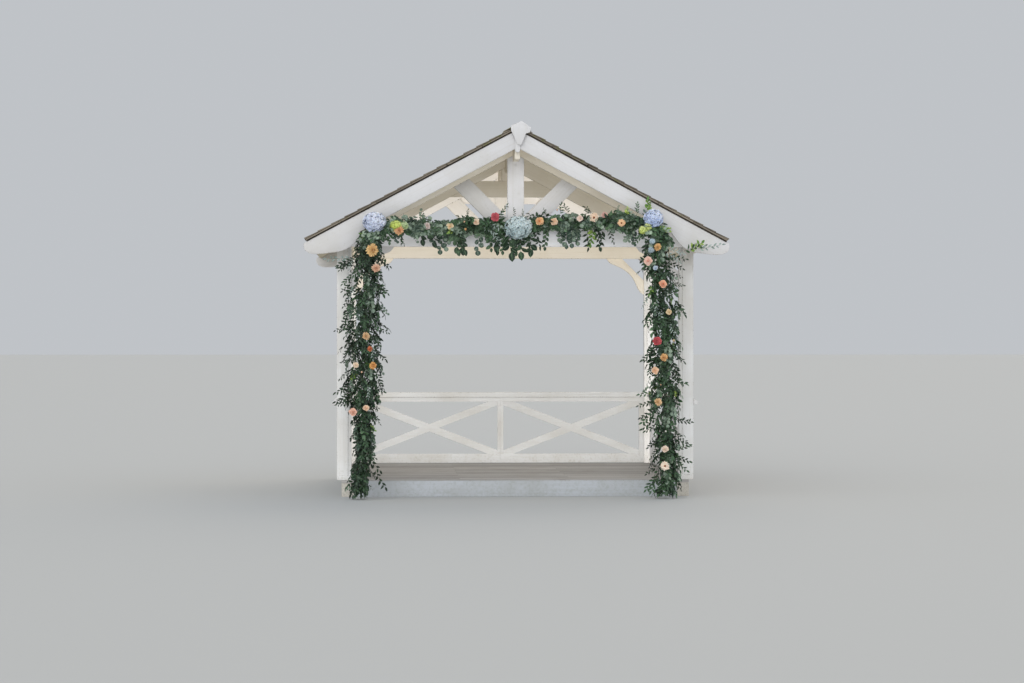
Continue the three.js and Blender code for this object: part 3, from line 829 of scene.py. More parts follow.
# Ridge caps: short folded pieces that lap each other along the ridge.
def makeRidgeCaps():
    rng = random.Random(31)
    bm = bmesh.new()
    count = math.ceil(2 * vergeReach / ridgeCap["step"])
    step = 2 * vergeReach / count
    inside, outside = ridgeCap["faces"]
    for i in range(count):
        cap = bmesh.new()
        reach = ridgeCap["reach"] * rng.uniform(*ridgeCap["reachShare"])
        section = [(x, slopeZ(x, inside)) for x in (-reach, 0, reach)]
        section += [(x, slopeZ(x, outside)) for x in (reach, 0, -reach)]
        start = -vergeReach + i * step + shiftY
        corners = [cap.verts.new((x, start, z)) for x, z in section]
        grown = bmesh.ops.extrude_face_region(cap, geom=[cap.faces.new(corners)])
        far = [v for v in grown["geom"] if isinstance(v, bmesh.types.BMVert)]
        long = min(step * ridgeCap["lap"], vergeReach + shiftY - start)
        bmesh.ops.translate(cap, vec=(0, long, 0), verts=far)
        for vert in corners:
            vert.co.z += ridgeCap["rise"] if i else 0.0
        bmesh.ops.recalc_face_normals(cap, faces=cap.faces[:])
        easeEdges(cap, cap.edges[:], ridgeCap["arris"])
        tone = cap.verts.layers.float.new("tone")
        shade = rng.uniform(-1, 1)
        for vert in cap.verts:
            vert[tone] = shade
        setGrain(cap, Vector((0, 1, 0)), rng)
        mergeInto(bm, cap)
    addPiece(toMesh(bm, "cedar_ridge_caps", 25), [litCapCedar], ["ridge_cap"])
    print("ridge capped")


cushions = {
    "count": 210,
    "shapes": 3,
    "uneven": 0.35,              # height of their lumps in radii
    "lumps": 1.7,                # lumps to a radius
    "fromVerge": 0.04,
    "end": 2.05,                 # distance down the slope past which none grow
    "below": (0.002, 0.03),      # distance below a course's upper end
    "radius": (0.008, 0.024),
    "downSlope": (0.8, 1.3),     # sizes in radii
    "along": (1.0, 2.4),
    "high": 0.42,
    "bed": 0.0275,               # height over the boarding
}


# Moss cushions that sit on the laps between courses, more of them near the ridge.
def makeMoss():
    rng = random.Random(47)
    templates = []
    for i in range(cushions["shapes"]):
        bm = bmesh.new()
        bmesh.ops.create_icosphere(bm, subdivisions=2, radius=1.0)
        for vert in bm.verts:
            lump = noise.noise(vert.co * cushions["lumps"] + Vector((i * 7, 0, 0)))
            vert.co *= 1 + cushions["uneven"] * lump
        bm.verts.layers.float.new("tone")
        templates.append(toMesh(bm, "mossCushion", 80))
    bm = bmesh.new()
    reach = vergeReach - cushions["fromVerge"]
    for _ in range(cushions["count"]):
        side = rng.choice((-1, 1))
        course = int(rng.triangular(0, roof["courses"], 1))
        down = (course + 1) * exposure + rng.uniform(*cushions["below"])
        if down > cushions["end"]:
            continue
        y = rng.uniform(-reach, reach) + shiftY
        radius = rng.uniform(*cushions["radius"])
        wide, long = [radius * rng.uniform(*cushions[way]) for way in ("downSlope", "along")]
        size = (wide, long, radius * cushions["high"], 1)
        place = onSlope(side, down, y, cushions["bed"])
        addCopy(bm, rng.choice(templates), place @ Matrix.Diagonal(size))
    addPiece(toMesh(bm, "moss_cushions", 80), [moss])
    print("moss grown")


ceiling = {"boards": 15, "thickness": 20, "groove": 4, "gap": 0.8, "start": 10.8, "end": 2110}


# Grooved boards nailed along the rafters, as seen from under the roof.
def makeCeiling():
    rng = random.Random(61)
    for side, name in ((-1, "left"), (1, "right")):
        bm = bmesh.new()
        width = (ceiling["end"] - ceiling["start"]) / ceiling["boards"]
        for i in range(ceiling["boards"]):
            middle = (ceiling["start"] + (i + 0.5) * width) * mm
            size = ((width - ceiling["gap"]) * mm, 2 * roofReach, ceiling["thickness"] * mm)
            place = onSlope(side, middle, shiftY, -ceiling["thickness"] * mm / 2)
            addBoard(bm, size, place, ceiling["groove"] * mm, Vector((0, 1, 0)), rng)
        nodes = ["roof_boarding_" + name]
        addPiece(toMesh(bm, "ceiling_boards_" + name), [shadedCeilingPaint], nodes)
    print("ceiling boarded")


makeShingles()
makeRidgeCaps()
makeMoss()
makeCeiling()


fixings = {
    "nailRadius": 5.0,
    "boltRadius": 13.0,
    "bargeAlong": (180, 560, 940, 1320, 1700),
    "bargeRows": (38, 104),
    "fasciaX": (-1400, -1000, -500, 0, 500, 1000, 1400),
    "fasciaZ": (42, 108),
    "trussBolts": (
        (0, 2452), (0, 2980), (-26, 2720), (26, 2720), (-215, 2545), (215, 2545), (-440, 2770), (440, 2770),
    ),
    # metres from the deck's middle to a hair off the faces of the barge boards, fascias and trusses
    "bargeY": 1.8501,
    "fasciaY": 1.5561,
    "trussY": 1.5301,
}


# Painted nail heads on the boards and painted bolt heads at the truss joints.
def makeFixings():
    bolt = screwHead(fixings["boltRadius"] * mm)
    bargeNail = screwHead(fixings["nailRadius"] * mm, 1)
    fasciaNail = screwHead(fixings["nailRadius"] * mm, 2)
    spots = []
    for side in (-1, 1):
        for along in fixings["bargeAlong"]:
            x = along * math.cos(pitch) * mm
            for row in fixings["bargeRows"]:
                spots.append((bargeNail, side * x, fixings["bargeY"], slopeZ(x, -row * mm)))
    for x in fixings["fasciaX"]:
        spots += [(fasciaNail, x * mm, fixings["fasciaY"], z * mm) for z in fixings["fasciaZ"]]
    spots += [(bolt, x * mm, fixings["trussY"], z * mm) for x, z in fixings["trussBolts"]]
    bm = bmesh.new()
    for end in (-1, 1):
        facing = Matrix.Rotation(math.radians(90) * -end, 4, "X")
        for head, x, y, z in spots:
            addCopy(bm, head, Matrix.Translation((x, end * y + shiftY, z)) @ facing)
    grain = bm.verts.layers.float_vector.new("grain")
    for vert in bm.verts:
        vert[grain] = vert.co
    addPiece(toMesh(bm, "painted_fixings"), [whitePaint, shadedGablePaint, shadedFasciaPaint])
    print("fixings set")


makeFixings()


# Leaf kinds: length and width in mm, droop is how far the tip sinks and fold how far the sides rise,
# as shares, blunt is how round the leaf is, then rows of faces along it and its finish.
leafKinds = {
    "ruscus": (66, 28, 0.16, 0.24, 0.05, 3, 0),
    "eucalyptus": (55, 51, 0.08, 0.14, 1.0, 4, 1),
    "fine": (54, 22, 0.12, 0.20, 0.1, 3, 0),
    "silver": (44, 17, 0.14, 0.20, 0.2, 3, 5),
    "fresh": (50, 30, 0.20, 0.20, 0.3, 3, 2),
    "salal": (66, 44, 0.12, 0.18, 0.4, 4, 4),
}
leafFinishes = [ruscusLeaf, eucalyptusLeaf, freshLeaf, stem, salalLeaf, silverLeaf]
stemFinishIndex = 3


bladeWeld = 0.01    # share of a blade's length within which two corners are one


# Half a leaf's width at the share t of its length, between that of a lance and that of a disc.
def leafHalfWidth(t, blunt):
    lance = math.sin(math.pi * t ** 0.8) ** 0.9 if 0 < t < 1 else 0.0
    disc = math.sqrt(max(0.0, 1 - (2 * t - 1) ** 2))
    return lance + (disc - lance) * blunt


# A leaf or petal from a small grid: base at the origin, growing along y, upper side facing z.
def bladeMesh(name, length, width, rows, halfWidth, lift, finish):
    bm = bmesh.new()
    bmesh.ops.create_grid(bm, x_segments=2, y_segments=rows, size=0.5, calc_uvs=False)
    tone = bm.verts.layers.float.new("tone")
    reach = bm.verts.layers.float.new("reach")
    dye = bm.verts.layers.float_color.new("petalColour")
    uv = bm.loops.layers.uv.new("leafMap")
    for face in bm.faces:
        face.material_index = finish
        for loop in face.loops:
            loop[uv].uv = (loop.vert.co.x + 0.5, loop.vert.co.y + 0.5)
    for vert in bm.verts:
        across = vert.co.x * 2
        t = vert.co.y + 0.5
        vert[reach] = t
        vert[dye] = (1, 1, 1, 1)
        vert[tone] = 0.0
        half = halfWidth(t) * width / 2
        vert.co = (across * half, t * length, lift(across, t) * length)
    bmesh.ops.remove_doubles(bm, verts=bm.verts[:], dist=length * bladeWeld)
    return toMesh(bm, name, 60)


def leafMesh(kind, scale):
    length, width, droop, fold, blunt, rows, finish = leafKinds[kind]
    half = lambda t: leafHalfWidth(t, blunt)
    lift = lambda across, t: fold * abs(across) * half(t) * 0.5 - droop * t * t
    return bladeMesh(kind + "Leaf", length * mm * scale, width * mm * scale, rows, half, lift, finish)


# A tube swept through the points by extruding a ring.
def sweepTube(bm, points, radii, sides, finish):
    points = [Vector(p) for p in points]
    last = len(points) - 1
    aims = [(points[min(i + 1, last)] - points[max(i - 1, 0)]).normalized() for i in range(last + 1)]
    start = Matrix.Translation(points[0]) @ aims[0].to_track_quat("Z", "Y").to_matrix().to_4x4()
    ring = bmesh.ops.create_circle(bm, cap_ends=True, segments=sides, radius=radii[0], matrix=start)["verts"]
    edges = list({e for v in ring for e in v.link_edges if all(end in ring for end in e.verts)})
    faces = list({f for v in ring for f in v.link_faces})
    for i in range(1, last + 1):
        grown = bmesh.ops.extrude_edge_only(bm, edges=edges)["geom"]
        ring = [g for g in grown if isinstance(g, bmesh.types.BMVert)]
        edges = [g for g in grown if isinstance(g, bmesh.types.BMEdge)]
        edges = [e for e in edges if all(end in ring for end in e.verts)]
        faces += [g for g in grown if isinstance(g, bmesh.types.BMFace)]
        turn = aims[i - 1].rotation_difference(aims[i]).to_matrix().to_4x4()
        size = Matrix.Scale(radii[i] / radii[i - 1], 4)
        step = Matrix.Translation(points[i]) @ turn @ size @ Matrix.Translation(-points[i - 1])
        bmesh.ops.transform(bm, matrix=step, verts=ring)
    faces += bmesh.ops.contextual_create(bm, geom=edges)["faces"]
    for face in faces:
        face.material_index = finish
    bmesh.ops.recalc_face_normals(bm, faces=faces)


# Cut sprigs and longer hanging strands: leaves in two rows up a thin bent stem that grows along z.
# Each has its leaf kind and count, length, angle of the leaves, bend and radius of the stem, flat,
# which is how far the leaves lie in one plane that faces along -y, and the leaves' size.
sprigKinds = {
    "ruscus": ("ruscus", 7, 0.115, 50, 0.022, 0.0015, 0.65, 1.0),
    "eucalyptus": ("eucalyptus", 8, 0.125, 64, 0.020, 0.0014, 0.60, 1.0),
    "salal": ("salal", 5, 0.095, 48, 0.018, 0.0017, 0.65, 1.0),
    "fine": ("fine", 9, 0.160, 46, 0.035, 0.0011, 0.75, 1.0),
    "silver": ("silver", 9, 0.160, 44, 0.030, 0.0012, 0.75, 1.0),
    "fresh": ("fresh", 8, 0.100, 48, 0.018, 0.0014, 0.60, 1.0),
    "coins": ("eucalyptus", 8, 0.170, 60, 0.026, 0.0014, 0.85, 0.95),
    "trail": ("salal", 8, 0.170, 38, 0.030, 0.0016, 0.85, 0.90),
    "lances": ("ruscus", 8, 0.170, 42, 0.032, 0.0014, 0.85, 0.86),
}


# How sprigs differ, and their stems.
sprigLook = {
    "bend": (0.5, 1.3),         # shares of the kind's bend
    "shapes": (0.85, 1.15),     # sizes of a sprig's two shapes of leaf
    "bareFoot": 0.08,           # share of the stem below the first leaf
    "around": 0.8,              # how far leaves stray from their two rows in radians
    "tilt": 16,                 # and from their angle in degrees
    "roll": 0.35,
    "size": (0.82, 1.1),
    "smaller": 0.22,            # how much smaller leaves are at the tip
    "tone": 0.35,
    "stemSteps": 4,
    "stemSides": 4,
    "stemTaper": 0.6,
}


def sprigMesh(kind, rng):
    leafKind, count, length, angle, bend, stemRadius, flat, leafSize = sprigKinds[kind]
    look = sprigLook
    bm = bmesh.new()
    lean = rng.uniform(0, 2 * math.pi)
    bow = Vector((math.cos(lean), math.sin(lean), 0)) * bend * rng.uniform(*look["bend"])
    along = lambda t: Vector((0, 0, length * t)) + bow * t * t
    upward = Vector((0, 0, 1))
    inPlane = Vector((0, -1, 0))
    leaves = [leafMesh(leafKind, rng.uniform(*look["shapes"])) for _ in range(2)]
    for i in range(count):
        t = look["bareFoot"] + (1 - look["bareFoot"]) * i / (count - 1)
        last = i == count - 1
        around = math.pi * i + rng.uniform(-look["around"], look["around"])
        tilt = math.radians(0 if last else angle + rng.uniform(-look["tilt"], look["tilt"]))
        out = Vector((math.cos(around), math.sin(around), 0))
        aim = (out * math.sin(tilt) + upward * math.cos(tilt)).normalized()
        facing = (inPlane if last else upward.lerp(inPlane, flat)) + scatter(rng, look["roll"])
        side = aim.cross(facing).normalized()
        turn = Matrix((side, aim, side.cross(aim))).transposed().to_4x4()
        size = leafSize * rng.uniform(*look["size"]) * (1.0 - look["smaller"] * t)
        stand = Matrix.Translation(along(t)) @ turn @ Matrix.Scale(size, 4)
        addCopy(bm, rng.choice(leaves), stand, rng.uniform(-look["tone"], look["tone"]))
    steps = look["stemSteps"]
    points = [along(i / steps) for i in range(steps + 1)]
    radii = [stemRadius * (1 - look["stemTaper"] * i / steps) for i in range(steps + 1)]
    sweepTube(bm, points, radii, look["stemSides"], stemFinishIndex)
    return toMesh(bm, kind + "Sprig", 60)


# The garland's lines. The run's stations are distance from the middle, how far forward of the beam,
# rise of the middle, half height and depth, in mm; a leg's are frame place and half width in pixels.
garland = {
    "height": 2.411,
    "run": [
        (-1375, 300, -70, 30, 110), (-1330, 300, -46, 46, 165), (-1250, 300, -10, 56, 180),
        (-1150, 300, 14, 50, 180), (-1080, 290, 18, 48, 178), (-950, 175, 4, 46, 172),
        (-830, 60, -2, 46, 168), (-650, 0, 2, 46, 165), (-450, 0, 18, 48, 165), (-200, 0, 24, 48, 165),
        (0, 0, 10, 52, 170), (200, 0, 44, 48, 165), (500, 0, 56, 48, 165), (760, 40, 60, 48, 168),
        (900, 150, 60, 48, 172), (1040, 280, 30, 54, 178), (1150, 300, -20, 62, 180),
        (1240, 300, -50, 52, 180), (1300, 300, -72, 40, 165), (1335, 300, -84, 26, 110),
    ],
    "legs": {
        "left": [
            (368, 236, 11), (367, 262, 15), (365, 300, 17), (364, 340, 17), (363, 380, 18), (362, 398, 15),
            (364, 412, 9), (364, 440, 6.5), (359, 475, 5.5), (357, 493, 4),
        ],
        "right": [
            (656, 238, 10), (657, 262, 12), (661, 292, 14), (664, 320, 15), (665, 345, 13.5), (665, 400, 13),
            (666, 432, 8), (668, 460, 9), (667, 482, 6), (668, 496, 4),
        ],
    },
    "legDepth": 150,
    "clear": 0.0003,      # metres between the garland and what it lies against
    "bargeFoot": 2.0,     # height above which the barge boards stand behind the legs
    # metres from the middle within which the run, its strands and its flowers lie on the beam
    "onBeam": {"run": 1.0, "strands": 0.9, "flowers": 0.86},
    "end": 1.24,          # metres from the middle past which the run turns down
    "front": -2.072,      # the plane past which no sprig reaches
    "floor": 0.004,       # height in metres below which none hangs
    "lift": 0.034,        # metres by which a sprig that hangs too low may be set higher
    "tone": 0.4,          # how far sprigs differ in tone
    "tucked": 3,          # pixels that a strand hanging from the run starts up inside it
    "straight": -0.9,     # the way down beyond which a strand counts as hanging
    "sprigs": {"top": 660, "left": 500, "right": 500},
    "seeds": {"top": 101, "left": 102, "right": 103},
    # the legs' sprigs are darker, the left one more: painted shade
    "legPaintedShade": {"left": -0.3, "right": -0.1},
    # strands that hang down are darker: painted shade
    "hangingPaintedShade": -0.35,
    # metres forward of the beam or the gable at which strands start, and how much further silver ones do
    "strandsOff": {"beam": 0.12, "gable": 0.10, "silver": 0.06},
    "strandWall": (-0.002, 0.05),    # how far back they may reach, as for the legs' sprigs
    "strandStray": (0.08, 0.35),     # of their way and of the way their leaves face
    # how thick the round grey leaves are: distance from the middle in metres and their share
    "roundLeaves": [
        (-1.45, 0.35), (-1.05, 0.55), (-0.95, 0.85), (-0.55, 0.85), (-0.46, 0.20), (0.15, 0.20),
        (0.42, 0.60), (0.55, 0.60), (0.66, 0.25), (0.95, 0.40), (1.1, 0.60), (1.45, 0.30),
    ],
}


def runLine():
    line = []
    for x, forward, rise, half, depth in garland["run"]:
        y = beamFace - garland["clear"] - forward * mm - depth * mm / 2
        line.append((Vector((x * mm, y, garland["height"] + rise * mm)), half * mm, depth * mm / 2))
    return line


def legLine(name):
    depth = garland["legDepth"] * mm / 2
    planeY = bargeFace - garland["clear"] - depth
    stations = garland["legs"][name]
    return [(seenAt(px, py, planeY), half / camera["gableScale"], depth) for px, py, half in stations]


# The place, half width, half depth and direction at the share t of the line's length.
def alongLine(line, t):
    lengths = [(line[i + 1][0] - line[i][0]).length for i in range(len(line) - 1)]
    left = t * sum(lengths)
    for i, length in enumerate(lengths):
        if left <= length or i == len(lengths) - 1:
            s = min(1.0, left / length)
            here, there = line[i], line[i + 1]
            half, depth = [a + (b - a) * s for a, b in zip(here[1:], there[1:])]
            return here[0].lerp(there[0], s), half, depth, (there[0] - here[0]).normalized()
        left -= length


# The share of round leaves at the distance x from the middle.
def roundShare(x):
    stops = garland["roundLeaves"]
    for (x0, share0), (x1, share1) in zip(stops, stops[1:]):
        if x <= x1:
            return share0 + (share1 - share0) * max(0.0, x - x0) / (x1 - x0)
    return stops[-1][1]


sprigRng = random.Random(83)
sprigs = {kind: [sprigMesh(kind, sprigRng) for _ in range(6)] for kind in sprigKinds}
print("sprigs cut")


# Sets one sprig whose leaves face one way, moved off the wall behind it and up from the floor or the
# height it may hang to, and left out where it would reach past the garland's own room.
def setSprig(bm, rng, kind, place, aim, size, wallY, facing, tone=0.0, floorZ=garland["floor"]):
    sprig = rng.choice(sprigs[kind])
    aim = aim.normalized()
    back = -(facing - aim * facing.dot(aim)).normalized()
    turn = Matrix((back.cross(aim), back, aim)).transposed().to_4x4() @ Matrix.Scale(size, 4)
    points = [turn @ vert.co + place for vert in sprig.vertices]
    off = max(0.0, max(point.y for point in points) - wallY)
    nearest = min(point.y for point in points) - off
    lowest = min(point.z for point in points)
    if nearest < garland["front"] or lowest < floorZ - garland["lift"]:
        return
    place = place - Vector((0, off, 0))
    place.z += max(0.0, floorZ - lowest)
    tone += rng.uniform(-garland["tone"], garland["tone"])
    addCopy(bm, sprig, Matrix.Translation(place) @ turn, tone)


# How sprigs stand on the run and on the legs. A sprig's kind is drawn by the shares given.
growth = {
    "run": {
        "clumps": (15, -1.2, 0.1),    # clumps to the run's length, and values below which it may be bare
        "turn": 1.8,                  # radians either way from straight forward
        "forward": (0.1, 0.8),        # start in half depths and half heights of the garland
        "high": (0.0, 0.72),
        "along": (0.4, 1.4),          # the parts of a sprig's way: along the run, out of it and down
        "out": (0.2, 0.6),
        "down": 0.25,
        "endInward": 0.6,             # the same for one past the run's end
        "endDown": 0.5,
        "hang": (0.052, 0.05, 9),     # metres below the run on the beam: mean, more or less, waves to a metre
        "noiseRows": (0.3, 1.7),      # where clumps and waves are read from the noise
        "endHang": 0.4,
        "facing": (0, -0.7, 0.2),
        "size": (0.78, 1.05),
        "kinds": {"ruscus": 5, "fine": 2.2, "salal": 1.5, "fresh": 0.12},
        "roundKinds": {"eucalyptus": 5, "salal": 2.5, "ruscus": 1},
    },
    "leg": {
        "turn": 1.3,                  # radians that a sprig turns aside, by and large
        "wide": (0.6, 0.9),           # how the starts crowd out sideways, and how far in half widths
        "forward": (0.0, 0.7),
        "out": (0.1, 0.5),
        "down": (0.5, 1.3),
        "size": (0.72, 1.0),
        "kinds": {"ruscus": 6, "eucalyptus": 1.3, "fine": 3.6, "fresh": 0.12, "salal": 1.6},
    },
    "wayStray": 0.25,
    "facingStray": 0.5,
    # metres that a leg's sprig keeps before the barge board, or may reach behind its face below it
    "legWall": (-0.001, 0.06),
}


def drawKind(rng, kinds):
    return rng.choices(list(kinds), list(kinds.values()))[0]


def growRun(bm, rng, line, count):
    look = growth["run"]
    clumps, *bare = look["clumps"]
    mean, more, waves = look["hang"]
    clumpRow, waveRow = look["noiseRows"]
    for _ in range(count):
        t = rng.random()
        place, half, depth, aim = alongLine(line, t)
        onBeam = abs(place.x) < garland["onBeam"]["run"]
        if onBeam and noise.noise(Vector((t * clumps, clumpRow, 0))) < rng.uniform(*bare):
            continue
        angle = rng.uniform(-look["turn"], look["turn"])
        out = Vector((0, -math.cos(angle), math.sin(angle)))
        forward = out.y * depth * rng.uniform(*look["forward"])
        base = place + Vector((0, forward, out.z * half * rng.uniform(*look["high"])))
        sideways = aim * rng.choice((-1, 1)) * rng.uniform(*look["along"])
        if abs(place.x) > garland["end"]:
            inward = math.copysign(rng.uniform(0, look["endInward"]), place.x)
            sideways = Vector((-inward, 0, -look["endDown"]))
        way = out * rng.uniform(*look["out"]) + sideways + Vector((0, 0, -look["down"]))
        way += scatter(rng, growth["wayStray"])
        kinds = look["roundKinds"] if rng.random() < roundShare(place.x) else look["kinds"]
        kind = drawKind(rng, kinds)
        wave = noise.noise(Vector((place.x * waves, waveRow, 0)))
        hang = mean + more * wave if onBeam else look["endHang"]
        facing = out + Vector(look["facing"]) + scatter(rng, growth["facingStray"])
        size = rng.uniform(*look["size"])
        setSprig(bm, rng, kind, base, way, size, place.y + depth, facing, 0.0, place.z - half - hang)


def growLeg(bm, rng, line, count, tone):
    look = growth["leg"]
    crowding, wide = look["wide"]
    before, behind = growth["legWall"]
    for _ in range(count):
        place, half, depth, _ = alongLine(line, rng.random())
        angle = rng.gauss(-math.pi / 2, look["turn"])
        out = Vector((math.cos(angle), math.sin(angle), 0))
        sideways = out.x * half * rng.random() ** crowding * wide
        base = place + Vector((sideways, out.y * depth * rng.uniform(*look["forward"]), 0))
        way = out * rng.uniform(*look["out"]) + Vector((0, 0, -1)) * rng.uniform(*look["down"])
        way += scatter(rng, growth["wayStray"])
        kind = drawKind(rng, look["kinds"])
        wall = bargeFace + (before if base.z > garland["bargeFoot"] else behind)
        size = rng.uniform(*look["size"])
        setSprig(bm, rng, kind, base, way, size, wall, out + scatter(rng, growth["facingStray"]), tone)


# Twisted stems in the middle of the garland, which carry the sprigs.
vine = {
    "strands": 4,
    "radius": 0.0045,
    "radiusShare": (0.7, 1.2),
    "sides": 5,
    "halfTurns": 5.5,
    "spread": 0.018,
    "spreadShare": (0.7, 1.3),
    "steps": 40,
}


def twistVine(bm, rng, line):
    steps = vine["steps"]
    for strand in range(vine["strands"]):
        start = 2 * math.pi * strand / vine["strands"]
        points = []
        for i in range(steps + 1):
            place, _, _, aim = alongLine(line, i / steps)
            side = aim.cross(Vector((0, -1, 0))).normalized()
            front = side.cross(aim)
            angle = start + vine["halfTurns"] * math.pi * i / steps
            swing = vine["spread"] * rng.uniform(*vine["spreadShare"])
            points.append(place + side * math.cos(angle) * swing + front * math.sin(angle) * swing)
        radii = [vine["radius"] * rng.uniform(*vine["radiusShare"])] * (steps + 1)
        sweepTube(bm, points, radii, vine["sides"], stemFinishIndex)


